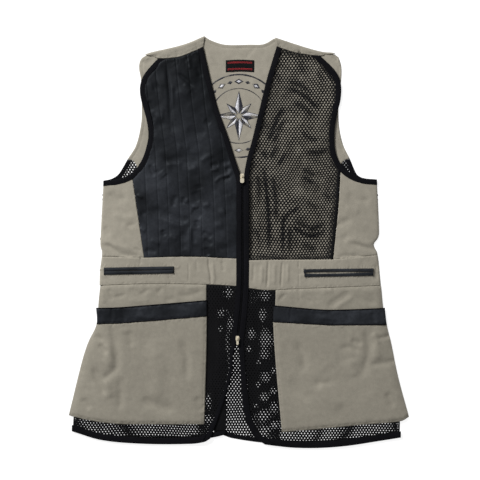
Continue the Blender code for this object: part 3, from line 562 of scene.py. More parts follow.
def near(points, line):
    """How far each point is from the line, and how far along the line its nearest place is."""
    nearest = np.full(len(points), np.inf)
    place = np.zeros(len(points))
    run = 0.0
    for a, b in zip(line[:-1], line[1:]):
        along = b - a
        long = np.hypot(*along)
        t = np.clip((points - a) @ along / (long * long + 1e-12), 0, 1)
        away = np.hypot(*(points - a - t[:, None] * along).T)
        closer = away < nearest
        nearest[closer] = away[closer]
        place[closer] = run + t[closer] * long
        run += long
    return nearest, place


def distance_to(points, line):
    return near(points, line)[0]


def closed(outline):
    return np.vstack((outline, outline[:1]))


def inside_of(points, outline):
    """Whether each point is inside the outline."""
    inside = np.zeros(len(points), bool)
    for a, b in zip(outline, np.roll(outline, -1, axis=0)):
        crosses = (a[1] > points[:, 1]) != (b[1] > points[:, 1])
        rise = b[1] - a[1] if b[1] != a[1] else 1e-12
        inside ^= crosses & (points[:, 0] < a[0] + (points[:, 1] - a[1]) / rise * (b[0] - a[0]))
    return inside


def smooth(t):
    t = np.clip(t, 0, 1)
    return t * t * (3 - 2 * t)


def front_heights():
    """Height of the front's underside at each corner of the solids' net of cells."""
    xs = np.arange(-COLUMNS, COLUMNS + 1) * CELL
    ys = np.arange(-ROWS, ROWS + 1) * CELL
    corners = np.array([(x, y) for x in xs for y in ys])
    height = np.full(len(corners), EDGE_Z)
    for side in ("right", "left"):
        front = curve(FRONTS["front_" + side], STEP)[:, :2]
        rest = [curve(EDGES[name + "_" + side], STEP) for name in ("arm", "side", "hem", "shoulder")]
        rest += [front[front[:, 1] > 150], front[front[:, 1] < -215]]
        nearest = np.min([distance_to(corners, line) for line in rest], axis=0)
        outline = region(
            edge("yoke_" + side), edge("arm_" + side), edge("side_" + side), edge("hem_" + side),
            edge("front_" + side),
        )
        rise = EDGE_Z + LOFT * smooth(nearest / LOFT_REACH)
        height = np.where(inside_of(corners, outline), np.maximum(height, rise), height)
    beside_zip = distance_to(corners, curve(EDGES["zip"])) < CELL
    height = np.where(beside_zip & (corners[:, 1] < 110), EDGE_Z + LOFT, height)
    for x0, y0, x1, y1, wide, high in FOLDS:
        away = distance_to(corners, np.array(((x0, y0), (x1, y1)), float))
        height = height + high * smooth(1 - away / (2 * wide))
    over_vent = (corners[:, 0] > VENT_RAMP[0] - CELL) & (corners[:, 0] < VENT_OUTER_X + CELL)
    over_vent &= corners[:, 1] < EDGES["back_waist"][0][1] + CELL
    height = np.where(over_vent, np.maximum(height, VENT_FRONT_Z), height)
    return np.clip(height, EDGE_Z, TOP_Z).reshape(len(xs), len(ys))


# A fine grid of heights over the whole vest, which every layer looks its place up in.
GRID = 2.0
HALF_X = 352.0
HALF_Y = 424.0


def looked_up(field, points, step, half_x, half_y):
    """A field's value at each point, even between the corners of its grid."""
    u = (points[:, 0] + half_x) / step
    v = (points[:, 1] + half_y) / step
    i = np.clip(np.floor(u).astype(int), 0, field.shape[0] - 2)
    j = np.clip(np.floor(v).astype(int), 0, field.shape[1] - 2)
    u = u - i
    v = v - j
    low = field[i, j] * (1 - v) + field[i, j + 1] * v
    high = field[i + 1, j] * (1 - v) + field[i + 1, j + 1] * v
    return low * (1 - u) + high * u


def blurred(field, cells, times=3):
    """The field with each value averaged over that many cells to each side."""
    wide = 2 * cells + 1
    for _ in range(times):
        for axis in (0, 1):
            pad = [(0, 0), (0, 0)]
            pad[axis] = (cells + 1, cells)
            run = np.cumsum(np.pad(field, pad, mode="edge"), axis=axis)
            if axis == 0:
                field = (run[wide:] - run[:-wide]) / wide
            else:
                field = (run[:, wide:] - run[:, :-wide]) / wide
    return field


def lumps(size, seed):
    """A smooth random field with lumps of about the size, and a spread of one."""
    shape = (int(2 * HALF_X / GRID) + 1, int(2 * HALF_Y / GRID) + 1)
    field = np.random.default_rng(seed).normal(size=shape)
    field = blurred(field, max(1, int(size / GRID / 3)))
    return field / field.std()


HEIGHTS = front_heights()


def make_ground():
    xs = np.arange(-HALF_X, HALF_X + 1, GRID)
    ys = np.arange(-HALF_Y, HALF_Y + 1, GRID)
    points = np.array(np.meshgrid(xs, ys, indexing="ij")).reshape(2, -1).T
    field = looked_up(HEIGHTS, points, CELL, COLUMNS * CELL, ROWS * CELL)
    field = blurred(field.reshape(len(xs), len(ys)), 4)
    return field + 0.14 * lumps(64, 1) + 0.06 * lumps(24, 2)


GROUND = make_ground()
BACK_RELIEF = 0.12 * lumps(54, 3) + 0.05 * lumps(20, 4)
DRIFT_X = 1.6 * lumps(70, 5)
DRIFT_Y = 1.6 * lumps(70, 6)
SLIP_X = lumps(24, 11)
SLIP_Y = lumps(24, 12)
WOBBLE = lumps(9, 7)
RUMPLE = 0.15 * lumps(16, 8) + 0.06 * lumps(8, 9)
SWELL = lumps(36, 10)


def at(field, points):
    return looked_up(field, np.asarray(points)[:, :2], GRID, HALF_X, HALF_Y)


def ground(points):
    return at(GROUND, points)


def floor_level(points):
    """The ground of the back, which lies on the floor."""
    return np.clip(at(BACK_RELIEF, points), -0.25, 0.25)


def vent_level(points):
    """The ground of the right half of the back skirt, which steps up over the left half."""
    start, end = VENT_RAMP
    step = smooth((points[:, 0] - start + 3) / (end - start + 6))
    return floor_level(points) + VENT_LIFT * step


def crease_pull(points, name):
    """How hard the named creases pull each point up or down."""
    rise = np.zeros(len(points))
    gain = CREASE_GAIN.get(name, CLOTH_GAIN)
    for path, wide, high in CREASES.get(name, ()):
        line = curve(np.reshape(path, (-1, 2)))
        wide = wide * (PAD_CREASES_WIDER if name == "pad" else 1)
        low = line.min(axis=0) - 3 * wide
        top = line.max(axis=0) + 3 * wide
        close = np.all((points > low) & (points < top), axis=1)
        if not close.any():
            continue
        away, place = near(points[close], line)
        share = place / length_of(line)
        taper = smooth(np.minimum(share, 1 - share) * 3.5)
        rise[close] += gain * high * np.exp(-((away / wide) ** 1.6)) * taper
    return rise


def creased(points, name):
    """How much the named creases lift or sink each point, which has a limit."""
    deepest = CREASE_DEEPEST.get(name, 1.6)
    return deepest * np.tanh(crease_pull(points, name) / deepest)


def puckers(points, line, reach, pitch, high):
    """Small gathers that run off a stitched line."""
    away, place = near(points, line)
    wave = np.sin(2 * np.pi * place / pitch + 2.2 * at(WOBBLE, points))
    return PUCKER_GAIN * high * wave * smooth(1 - away / reach) * smooth(away / 1.5)


def surface(rise, dips=(), creases="", below=ground, gathers=(), grooves=(), more=None, rumpled=0.0):
    """A function that gives a layer's upper side.

    Dips are rows of line, depth and reach, and grooves rows of line, distance, depth and width.
    """

    def height(points):
        z = below(points) + rise + creased(points, creases) + rumpled * at(RUMPLE, points)
        for line, depth, reach in dips:
            z = z - depth * np.clip(1 - distance_to(points, line) / reach, 0, 1) ** 2
        for line, away, depth, wide in grooves:
            z = z - depth * np.exp(-(((distance_to(points, line) - away) / wide) ** 2))
        for line, reach, pitch, high in gathers:
            z = z + puckers(points, line, reach, pitch, high)
        if more:
            z = z + more(points)
        return z

    return height


def place(name, points, faces, look, slot, body="vest"):
    """A smooth mesh piece that rides on a body, with the look as its material."""
    points = np.array(points, float)
    points[:, 2] = np.maximum(points[:, 2], 0.03)
    mesh = bpy.data.meshes.new(name)
    mesh.from_pydata(((points + CENTRE) * MM).tolist(), [], faces)
    mesh.polygons.foreach_set("use_smooth", [True] * len(mesh.polygons))
    mesh.materials.append(look)
    made = bpy.data.objects.new(name, mesh)
    bpy.context.scene.collection.objects.link(made)
    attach(made, body)
    return made


def laid(made):
    """Hands back the piece of cloth as it is."""
    return made


def taped(outer, inner):
    """Works out how long the straight tape of a bound edge is, and does nothing more with it."""
    long = (length_of(outer) + length_of(inner)) / 2


# Where a shell has points beside a line that is pressed into it.
PRESSED = (-2.0, -1.0, 0.0, 1.0, 2.0)
PRESSED_REACH = 2.0


def shell(
    name, outline, height, thick, look, slot, spacing=3.2, rings=(0.8, 2.0), rim_drop=0.35, pressed=()
):
    """A thin closed shell over the outline, with rounded edges."""
    rim = []
    for a, b in zip(outline, np.roll(outline, -1, axis=0)):
        pieces = max(1, int(math.ceil(np.hypot(*(b - a)) / spacing)))
        rim += [a + (b - a) * k / pieces for k in range(pieces)]
    rim = np.array(rim)
    border = closed(rim)
    inner = []
    along = np.roll(rim, -1, axis=0) - np.roll(rim, 1, axis=0)
    normal = np.column_stack((-along[:, 1], along[:, 0]))
    normal /= np.hypot(*normal.T)[:, None] + 1e-9
    if not inside_of(rim[1:2] + normal[1:2] * 0.05, rim)[0]:
        normal = -normal
    for ring in rings:
        ringed = rim + normal * ring
        keep = inside_of(ringed, rim) & (distance_to(ringed, border) > 0.9 * ring)
        inner.append(ringed[keep])
    low = rim.min(axis=0)
    high = rim.max(axis=0)
    rows = np.arange(low[1], high[1], spacing * 0.87)
    grid = []
    for k, y in enumerate(rows):
        xs = np.arange(low[0] + (k % 2) * spacing / 2, high[0], spacing)
        grid.append(np.column_stack((xs, np.full(len(xs), y))))
    grid = np.vstack(grid)
    grid = grid[inside_of(grid, rim)]
    last = rings[-1] if rings else 0
    grid = grid[distance_to(grid, border) > last + spacing * 0.5]
    for line in pressed:
        grid = grid[distance_to(grid, line) > PRESSED_REACH + spacing * 0.45]
        for shift in PRESSED:
            run = shifted(resampled(line, int(length_of(line) / spacing) + 2), shift, (0, 0))
            inner.append(run[inside_of(run, rim) & (distance_to(run, border) > last + 0.5)])
    inner.append(grid)
    points = np.vstack([rim] + inner)
    count = len(rim)
    edges = [(k, (k + 1) % count) for k in range(count)]
    verts, _, faces, *_ = delaunay_2d_cdt([Vector(p) for p in points], edges, [], 1, 1e-4)
    plan = np.array([v[:] for v in verts])
    total = len(plan)
    top = height(plan)
    drop = rim_drop * np.clip(1 - distance_to(plan, border) / 1.2, 0, 1) ** 2
    points = np.vstack((np.column_stack((plan, top - drop)), np.column_stack((plan, top - thick))))
    sides = {}
    for face in faces:
        for a, b in zip(face, face[1:] + face[:1]):
            sides[(a, b)] = True
    polygons = [list(face) for face in faces]
    polygons += [[total + i for i in reversed(face)] for face in faces]
    polygons += [[b, a, total + a, total + b] for a, b in sides if (b, a) not in sides]
    return place(name, points, polygons, look, slot)


def band(name, lines, profile, below, slot, spacing=3.0):
    """A closed strip of cloth with a rounded section. Lines gives its line for a share and an offset."""
    count = max(4, int(length_of(lines(0.5, 0)) / spacing))
    rows = []
    for share, more, high in profile:
        line = resampled(lines(share, more), count)
        z = below(line) + high + 0.05 * at(WOBBLE, line)
        rows.append(np.column_stack((line, z)))
    points = np.vstack(rows)
    around = len(rows)
    faces = [
        [r * count + k, r * count + k + 1, (r + 1) % around * count + k + 1, (r + 1) % around * count + k]
        for r in range(around)
        for k in range(count - 1)
    ]
    faces.append([r * count for r in range(around)])
    faces.append([r * count + count - 1 for r in reversed(range(around))])
    return place(name, points, faces, LOOKS[slot], slot)


def node_band(name, lines, profile, below, slot="binding"):
    """A band that takes the place of the node of that name."""
    made = band("soft_" + name, lines, profile, below, slot)
    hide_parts(name)
    return made


def trimmed(name, width, inside, first, last):
    """Lines of a band along a named edge, from one crossing line to another."""

    def lines(share, more):
        return between(edge(name, share * width + more, inside), first, last)

    return lines


def front_trimmed(name, inside, first, last):
    """Lines of the band along a front's edge, whose width varies."""
    rows = curve(FRONTS[name])

    def lines(share, more):
        line = shifted(rows[:, :2], rows[:, 2] * share + more, inside)
        return between(extended(line), first, last)

    return lines


def slipped(points):
    """How far the back net has slipped at each point: not between the fronts, and most under them."""
    right, left = (curve(FRONTS["front_" + side])[:, :2] for side in ("right", "left"))
    opening = np.vstack((right[right[:, 1] < CHAIN_LOW_Y], left[left[:, 1] < CHAIN_LOW_Y][::-1]))
    away = np.where(inside_of(points, opening), 0, distance_to(points, closed(opening)))
    moved = SLIP + SLIP_UNEVEN * np.column_stack((at(SLIP_X, points), at(SLIP_Y, points)))
    x, y = points.T
    (hem_x, wide_x), (hem_y, wide_y) = HEM_ALIGNED
    hem = smooth((np.abs(x) - hem_x) / wide_x) * smooth((hem_y - y) / wide_y)
    free = smooth(away / SLIP_REACH) * (1 - HEM_ALIGNED_SHARE * hem)
    for patch_x, patch_y, wide, high in ALIGNED:
        off = np.hypot((x - patch_x) / wide, (y - patch_y) / high)
        free = free * smooth((off - PATCH_CORE) / PATCH_FADE)
    return moved * free[:, None]


def net(name, outline, height, hole, creases="", drift=1.0, slip=None, fade=None):
    """An open net of rounded threads round hexagonal holes, which close up along its creases."""
    low = outline.min(axis=0) - 8
    high = outline.max(axis=0) + 8
    centres = []
    for row in range(int(low[1] // NET_Y), int(high[1] // NET_Y) + 2):
        xs = np.arange(int(low[0] // NET_X), int(high[0] // NET_X) + 2) * NET_X + (row % 2) * NET_X / 2
        centres.append(np.column_stack((xs, np.full(len(xs), row * NET_Y))))
    centres = np.vstack(centres)

    def drifted(points):
        moved = drift * np.column_stack((at(DRIFT_X, points), at(DRIFT_Y, points)))
        return points + moved + (slip(points) if slip else 0)

    centres = centres[inside_of(drifted(centres), outline)]
    pull = np.abs(crease_pull(drifted(centres), creases)) / CREASE_GAIN.get(creases, 1)
    closing = np.clip(pull / CLOSING_PULL, 0, 1.3)
    ragged = 1 + 0.05 * at(WOBBLE, centres)
    size = (1 - 0.72 * closing) * np.clip(ragged, 0.85, 1.15)
    if fade:
        size = size * fade(drifted(centres))
    outer = (centres[:, None] + NET_CELL).reshape(-1, 2)
    _, first, index = np.unique(
        np.round(outer * 50).astype(int), axis=0, return_index=True, return_inverse=True
    )
    index = index.reshape(-1, 6)
    shared = outer[first]
    inner = centres[:, None] + NET_CELL * np.array(hole) * size[:, None, None]
    inner = inner.reshape(-1, 2)
    plan = drifted(np.vstack((shared, inner)))
    z = height(plan)
    z[len(shared) :] -= NET_SPIKE
    start = len(shared) + 6 * np.arange(len(centres))
    faces = []
    for k in range(6):
        n = (k + 1) % 6
        faces.append(np.column_stack((index[:, n], index[:, k], start + k, start + n)))
    faces = np.vstack(faces).tolist()
    return place(name, np.column_stack((plan, z)), faces, LOOKS["mesh"], "mesh")


def node_net(name, outline, height, hole, with_pieces=(), **more):
    """A net that lies flat and takes the place of the node of that name."""
    made = net("soft_" + name, outline, height, hole, **more)
    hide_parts(name)
    laid(made)


def dashes(name, rows, look, slot):
    """Many short raised threads as one mesh. Each row is their starts, ends, heights, width and rise."""
    verts = []
    faces = []
    start = 0
    for begin, end, z, wide, rise in rows:
        along = end - begin
        long = np.hypot(*along.T)[:, None] + 1e-9
        across = np.column_stack((-along[:, 1], along[:, 0])) / long * wide / 2
        tip = np.minimum(0.3, 0.45 * wide / long)
        low = (z - 0.08)[:, None]
        top = (z + rise)[:, None]
        corners = (
            np.hstack((begin - across, low)), np.hstack((end - across, low)),
            np.hstack((end + across, low)), np.hstack((begin + across, low)),
            np.hstack((begin + along * tip, top)), np.hstack((end - along * tip, top)),
        )
        verts.append(np.stack(corners, axis=1).reshape(-1, 3))
        base = start + 6 * np.arange(len(begin))[:, None]
        for face in ((0, 1, 5, 4), (2, 3, 4, 5)):
            faces += (base + np.array(face)).tolist()
        for face in ((1, 2, 5), (3, 0, 4)):
            faces += (base + np.array(face)).tolist()
        start += 6 * len(begin)
    return place(name, np.vstack(verts), faces, look, slot)


def stitched(line, height, long=2.5, gap=0.9, wide=0.55, rise=0.22):
    """One row for dashes: stitches along a line on a surface."""
    total = length_of(line)
    count = max(1, int(total / (long + gap)))
    pitch = total / count
    marks = resampled(line, 2 * count + 1)
    begin = marks[:-1:2]
    half = marks[1::2]
    along = (half - begin) / (np.hypot(*(half - begin).T)[:, None] + 1e-9)
    end = begin + along * (pitch - gap)
    return begin, end, height((begin + end) / 2), wide, rise


def satin(line, half, height, pitch=SATIN_PITCH, lean=0.5, wide=0.62, rise=0.4):
    """One row for dashes: close threads across a line, as in satin stitch."""
    count = max(2, int(length_of(line) / pitch))
    marks = resampled(line, count)
    along = np.gradient(marks, axis=0)
    along /= np.hypot(*along.T)[:, None] + 1e-9
    across = np.column_stack((-along[:, 1], along[:, 0]))
    half = np.reshape(half, (-1, 1)) if np.ndim(half) else half
    begin = marks - across * half - along * lean / 2
    end = marks + across * half + along * lean / 2
    return begin, end, height(marks), wide, rise


def node(tree, kind, inputs=None, **settings):
    """A shader node with its settings, and its inputs set or linked."""
    made = tree.nodes.new("ShaderNode" + kind)
    for key, value in settings.items():
        setattr(made, key, value)
    for key, value in (inputs or {}).items():
        if isinstance(value, bpy.types.NodeSocket):
            tree.links.new(value, made.inputs[key])
        else:
            made.inputs[key].default_value = value
    return made


def noise(tree, where, scale, detail=2.0, low=0.0, high=1.0):
    """A noise, spread between two values."""
    made = node(tree, "TexNoise", {"Vector": where, "Scale": scale, "Detail": detail})
    ranged = node(
        tree, "MapRange",
        {"Value": made.outputs[0], "From Min": 0.3, "From Max": 0.7, "To Min": low, "To Max": high},
    )
    return ranged.outputs[0]


def times(tree, a, b):
    return node(tree, "Math", {0: a, 1: b}, operation="MULTIPLY").outputs[0]


def plus(tree, a, b):
    return node(tree, "Math", {0: a, 1: b}, operation="ADD").outputs[0]


def wave(tree, value, pitch):
    turned = times(tree, value, 2 * math.pi / (pitch * MM))
    return node(tree, "Math", {0: turned}, operation="SINE").outputs[0]


def weave(tree, where, pitch):
    """Height of a plain weave: threads over and under in turn."""
    parts = node(tree, "SeparateXYZ", {0: where})
    return times(tree, wave(tree, parts.outputs["X"], pitch), wave(tree, parts.outputs["Y"], pitch))


def twill(tree, where, pitch, lean):
    """Height of a twill: slanting ribs, broken by the weft."""
    parts = node(tree, "SeparateXYZ", {0: where})
    slant = plus(tree, parts.outputs["X"], times(tree, parts.outputs["Y"], lean))
    ribs = wave(tree, slant, pitch * 1.4)
    weft = wave(tree, parts.outputs["Y"], pitch * 0.7)
    return plus(tree, ribs, times(tree, weft, 0.4))


def look_of(name, rough, specular, metal=0.0, sheen=0.0):
    look = bpy.data.materials.new(name)
    look.use_nodes = True
    tree = look.node_tree
    shader = tree.nodes["Principled BSDF"]
    shader.inputs["Roughness"].default_value = rough
    shader.inputs["Specular IOR Level"].default_value = specular
    shader.inputs["Metallic"].default_value = metal
    shader.inputs["Sheen Weight"].default_value = sheen
    where = node(tree, "TexCoord").outputs["Object"]
    return look, tree, shader, where


def coloured(tree, shader, colour, *shades):
    """The shader's colour, darkened and lightened by the shades in turn."""
    value = shades[0]
    for shade in shades[1:]:
        value = times(tree, value, shade)
    mixed = node(
        tree, "Mix", {0: 1.0, 6: (*colour, 1), 7: value}, data_type="RGBA", blend_type="MULTIPLY"
    )
    tree.links.new(mixed.outputs[2], shader.inputs["Base Color"])


def bumped(tree, shader, height, deep, strength=0.6):
    bump = node(tree, "Bump", {"Strength": strength, "Distance": deep * MM, "Height": height})
    tree.links.new(bump.outputs[0], shader.inputs["Normal"])


def cotton_look(name, colour, lean):
    look, tree, shader, where = look_of(name, 0.95, 0.15, sheen=0.05)
    ribs = twill(tree, where, 0.8, lean)
    coloured(
        tree, shader, colour, noise(tree, where, 9, 4, 0.94, 1.06),
        noise(tree, where, 130, 3, 0.95, 1.05), noise(tree, where, 900, 2, 0.92, 1.08),
        plus(tree, times(tree, ribs, 0.03), 1.0),
    )
    fuzz = noise(tree, where, 1600, 2, 0, 1)
    bumped(tree, shader, plus(tree, times(tree, ribs, 0.3), times(tree, fuzz, 0.5)), 0.12)
    return look


def leather_look():
    look, tree, shader, where = look_of("black_leather", 0.6, 0.16)
    # The leather's colour is painted lighter low on the vest and darker high on it: painted light on the
    # pad's lower part, the trims and the lips, and painted shade on the pad's upper part.
    height = node(tree, "SeparateXYZ", {0: where}).outputs["Y"]
    painted_light_low_shade_high = node(
        tree, "MapRange", {"Value": height, "From Min": 0.3, "From Max": 0.1, "To Min": 0.5, "To Max": 1.45}
    ).outputs[0]
    shader.inputs["Specular Tint"].default_value = (0.84, 0.92, 1.0, 1)
    coloured(
        tree, shader, (0.0094, 0.0103, 0.0124), painted_light_low_shade_high, noise(tree, where, 13, 4, 0.2, 2.0),
        noise(tree, where, 220, 3, 0.85, 1.2),
    )
    pores = node(
        tree, "TexVoronoi", {"Vector": where, "Scale": 620.0}, feature="DISTANCE_TO_EDGE",
    ).outputs[0]
    grain = plus(tree, times(tree, pores, 1.2), noise(tree, where, 420, 3, 0, 0.8))
    tree.links.new(noise(tree, where, 24, 4, 0.54, 0.68), shader.inputs["Roughness"])
    bumped(tree, shader, grain, 0.12, 0.5)
    return look


def plain_look(name, rough, specular, colour, shades, grain, deep, pitch=0, ribbed=0.0):
    """A finish with a weave and with noises, as rows of scale, detail, low and high."""
    look, tree, shader, where = look_of(name, rough, specular)
    factors = [noise(tree, where, *row) for row in shades]
    relief = noise(tree, where, *grain) if grain else None
    if pitch:
        ribs = weave(tree, where, pitch)
        factors.append(plus(tree, times(tree, ribs, ribbed), 1.0))
        relief = plus(tree, ribs, relief) if grain else ribs
    coloured(tree, shader, colour, *factors)
    bumped(tree, shader, relief, deep)
    return look


def metal_look():
    look, tree, shader, where = look_of("pale_brass", 0.4, 0.5, metal=0.4)
    coloured(tree, shader, (0.88, 0.8, 0.62), noise(tree, where, 400, 4, 0.85, 1.08))
    tree.links.new(noise(tree, where, 900, 3, 0.22, 0.4), shader.inputs["Roughness"])
    bumped(tree, shader, noise(tree, where, 1500, 3, 0, 1), 0.03)
    return look


def thread_look(name, colour, rough=0.5, specular=0.3):
    shades = ((60, 2, 0.92, 1.08), (1500, 2, 0.8, 1.2))
    return plain_look(name, rough, specular, colour, shades, (2200, 2, 0, 1), 0.05)


# Noises for the shades of the nets, the bindings, and the zip and label.
NET_SHADES = ((20, 3, 0.8, 1.2), (700, 2, 0.6, 1.4))
TAPE_SHADES = ((16, 3, 0.85, 1.15), (500, 2, 0.8, 1.2))
FINE_SHADES = ((300, 2, 0.8, 1.2),)

LOOKS = {
    "cotton": cotton_look("cotton_twill", (0.325, 0.3, 0.247), 1.0),
    # The second cotton is the same twill leaning the other way, with its colour painted darker as painted
    # shade for the yokes, hip panels and pockets.
    "cotton_cross_shaded": cotton_look("cotton_twill_across_painted_shade", (0.29, 0.268, 0.22), -1.0),
    "mesh": plain_look("black_net", 0.65, 0.1, (0.0046, 0.0046, 0.0054), NET_SHADES, (1300, 2, 0, 1), 0.15),
    "leather": leather_look(),
    "binding": plain_look(
        "black_tape", 0.8, 0.07, (0.0046, 0.0046, 0.0062), TAPE_SHADES, (900, 2, 0, 0.8), 0.1, 0.9, 0.1
    ),
    # The zip's nylon is black and is painted a little darker than the tape, as painted shade in the gap
    # between the bindings.
    "zip_plastic": plain_look(
        "zip_nylon_and_painted_shade", 0.7, 0.1, (0.003, 0.003, 0.004), FINE_SHADES, (900, 2, 0, 1), 0.05
    ),
    "zip_metal": metal_look(),
    "label": plain_look(
        "woven_label", 0.8, 0.08, (0.006, 0.0065, 0.007), FINE_SHADES, None, 0.06, 0.5, 0.15
    ),
    "thread_beige": thread_look("thread_beige", (0.23, 0.21, 0.168), 0.85, 0.1),
    "thread_black": thread_look("thread_black", (0.005, 0.005, 0.006), 0.8, 0.1),
    "thread_navy": thread_look("thread_navy", (0.028, 0.03, 0.042)),
    "thread_white": thread_look("thread_white", (0.72, 0.72, 0.76)),
    "thread_red": thread_look("thread_red", (0.36, 0.014, 0.02)),
}

# How far the stitching lies from the turned edges of the back, the yoke's seam and its fold.
HEM_STITCH = 6.0
YOKE_STITCH = 3.4
SHOULDER_STITCH = 8.2
# How far it lies from the pockets' edges and from the edges of their leather bands.
POCKET_STITCH = 4.0
TRIM_STITCH = 2.2

# Rows of stitches to sew, by thread.
SEWN = {"thread_beige": [], "thread_black": [], "thread_navy": [], "thread_white": [], "thread_red": []}

# Depth and reach of the dips beside a seam, a fold and the seams of the back's nets.
SEAM_DIP = (0.55, 2.6)
FOLD_DIP = (1.9, 4.5)
BACK_NET_DIP = (0.6, 4.0)


def seam(line):
    return (line, *SEAM_DIP)


def fold(line):
    return (line, *FOLD_DIP)


def net_dip(line):
    return (line, *BACK_NET_DIP)


def sew(thread, line, height, ends=(), **more):
    """Adds a line of stitches, from one crossing line to another where it has such ends."""
    line = between(line, *ends) if ends else line
    SEWN["thread_" + thread].append(stitched(line, height, **more))


def cloth(name, outline, height, slot="cotton", thick=0.9, look=None, **more):
    """A shell that takes the place of the node of that name."""
    made = shell("soft_" + name, outline, height, thick, LOOKS[look or slot], slot, **more)
    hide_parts(name)
    return made


def hem_opening(points):
    return np.interp(points[:, 1], *HEM_OPENING)


def add_back():
    arms = {side: edge("back_arm_" + side) for side in ("right", "left")}
    neck = edge("neck_back")
    shoulders = {side: edge("shoulder_" + side, 1.6, INSIDE_BACK) for side in ("right", "left")}
    outline = region(
        neck, shoulders["left"], arms["left"], edge("back_seam_left", SEAM, INSIDE_BACK),
        edge("back_waist", SEAM, INSIDE_BACK), edge("back_seam_right", SEAM, INSIDE_BACK),
        arms["right"], shoulders["right"],
    )
    top = surface(
        CLOTH,
        dips=(seam(edge("back_seam_left")), seam(edge("back_seam_right")), seam(edge("back_waist"))),
        creases="back", rumpled=1.0, below=floor_level,
        grooves=(
            (neck, HEM_STITCH, 0.5, 1.2), (arms["left"], HEM_STITCH, 0.45, 1.2),
            (arms["right"], HEM_STITCH, 0.45, 1.2),
        ),
        gathers=((arms["left"], 9.0, 11.0, 0.2), (arms["right"], 9.0, 12.0, 0.2)),
    )
    panel = cloth("back_panel", outline, top, spacing=4.0, rings=(0.8, 2.0, 4.6, 6.0, 7.4))
    laid(panel)
    sew("beige", edge("neck_back", HEM_STITCH, INSIDE_BACK), top, shoulders.values())
    for side in ("right", "left"):
        ends = (shoulders[side], edge("back_seam_" + side))
        sew("beige", edge("back_arm_" + side, HEM_STITCH, INSIDE_BACK), top, ends)
    for side, outer in (("right", (-300, 0)), ("left", (300, 0))):
        arm = "back_arm_" + side
        border = edge("side_" + side, BACK_INSET, INSIDE_BACK)
        back_seam = edge("back_seam_" + side, -BACK_NET_PAST, outer)
        lines = trimmed(arm, BACK_ARM_BAND, (0, 0), edge("back_seam_" + side, SEAM, outer), border)
        binding = node_band("back_armhole_binding_" + side, lines, BACK_BAND, floor_level)
        outline = region(
            edge(arm, BACK_ARM_BAND - BACK_NET_UNDER, (0, 0)), border,
            edge("back_waist", -BACK_NET_PAST, INSIDE_BACK), back_seam,
        )
        top = surface(
            NET_RISE, dips=(net_dip(edge("back_seam_" + side)), net_dip(edge("back_waist"))),
            below=floor_level,
        )
        node_net("back_mesh_side_" + side, outline, top, INSERT_HOLE[side], [binding])
        add_selvedge("back_side_" + side, border, edge(arm), edge("back_waist"), INSIDE_BACK, floor_level)
    halves = (
        ("right", INSIDE_LOWER_RIGHT, VENT_OUTER_X, vent_level),
        ("left", INSIDE_LOWER_LEFT, VENT_INNER_X, floor_level),
    )
    for side, inside, vent_x, below in halves:
        opening = np.array(((vent_x, 0), (vent_x, -420)), float)
        border = edge("side_" + side, BACK_INSET, INSIDE_BACK)
        net_border = edge("side_" + side, NET_INSET, INSIDE_BACK)
        hem = "back_hem_" + side
        lines = trimmed(hem, BACK_HEM_BAND, inside, opening, border)
        binding = node_band("back_hem_binding_" + side, lines, BACK_BAND, below)
        outline = region(
            edge("back_waist", -BACK_NET_PAST, inside), opening,
            edge(hem, BACK_HEM_BAND - BACK_NET_UNDER, inside), net_border,
        )
        top = surface(NET_RISE, dips=(net_dip(edge("back_waist")),), creases="back_net", below=below)
        name = "back_skirt_" + side
        node_net(name, outline, top, BACK_HOLE, [binding], slip=slipped, fade=hem_opening)
        add_selvedge("back_vent_" + side, opening, edge("back_waist"), edge(hem, 6, inside), inside, below)
        if side == "right":
            add_selvedge(
                "vent_facing", opening, FACING_TOP, edge(hem, 6, inside), inside, below, VENT_FACING,
            )
        add_selvedge(
            "back_skirt_" + side, border, edge("back_waist"), edge(hem, 4, inside), INSIDE_BACK, below,
        )


# Section of the narrow turned edge of a net.
SELVEDGE = ((0, 0.2, 0.2), (0, 0, 0.7), (0, 0.7, 1.3), (1, -0.7, 1.3), (1, 0, 0.8), (1, -0.2, 0.2))
SELVEDGE_WIDE = 3.4
# The back vent's upper half has a facing at its foot, as wide as the halves lap.
VENT_FACING = 23.0
FACING_TOP = np.array(((-120.0, -300.0), (60.0, -300.0)))


def add_selvedge(name, line, first, last, inside, below, wide=SELVEDGE_WIDE):
    """The turned edge of a net, along a line between two others."""
    stretch = between(line, first, last)

    def lines(share, offset):
        return shifted(stretch, share * wide + offset, inside)

    band("net_edge_" + name, lines, SELVEDGE, below, "mesh")


# Section of the seam allowance that lies below a seam between two pieces of cotton.
ALLOWANCE = ((0, 0, -0.1), (0, 0, 0.3), (1, 0, 0.3), (1, 0, -0.1))
ALLOWANCE_WIDE = 5.0


def add_allowance(name, line, first, last):
    stretch = between(line, first, last)

    def lines(share, offset):
        return shifted(stretch, (share - 0.5) * ALLOWANCE_WIDE + offset, (0, 0))

    band("seam_allowance_" + name, lines, ALLOWANCE, ground, "cotton")


def pad_channels(points):
    """The gun pad's swell between its stitched lines, which lean, and lines pressed into it."""
    lean = np.interp(points[:, 1], *np.array(PAD_LEAN).T)
    x = points[:, 0] - lean
    lines = np.array((PAD_FIRST_X, *PAD_LINES_X, 0.0))
    i = np.clip(np.searchsorted(lines, x, side="right") - 1, 0, len(lines) - 2)
    wide = lines[i + 1] - lines[i]
    across = np.clip((x - lines[i]) / wide, 0, 1)
    rise = PAD_SWELL * (4 * across * (1 - across)) ** 0.9
    away = np.minimum(across, 1 - across) * wide
    rise -= PAD_LINE_DEEP * np.exp(-((away / PAD_LINE_WIDE) ** 2))
    return rise + PAD_LUMPS * at(SWELL, points)


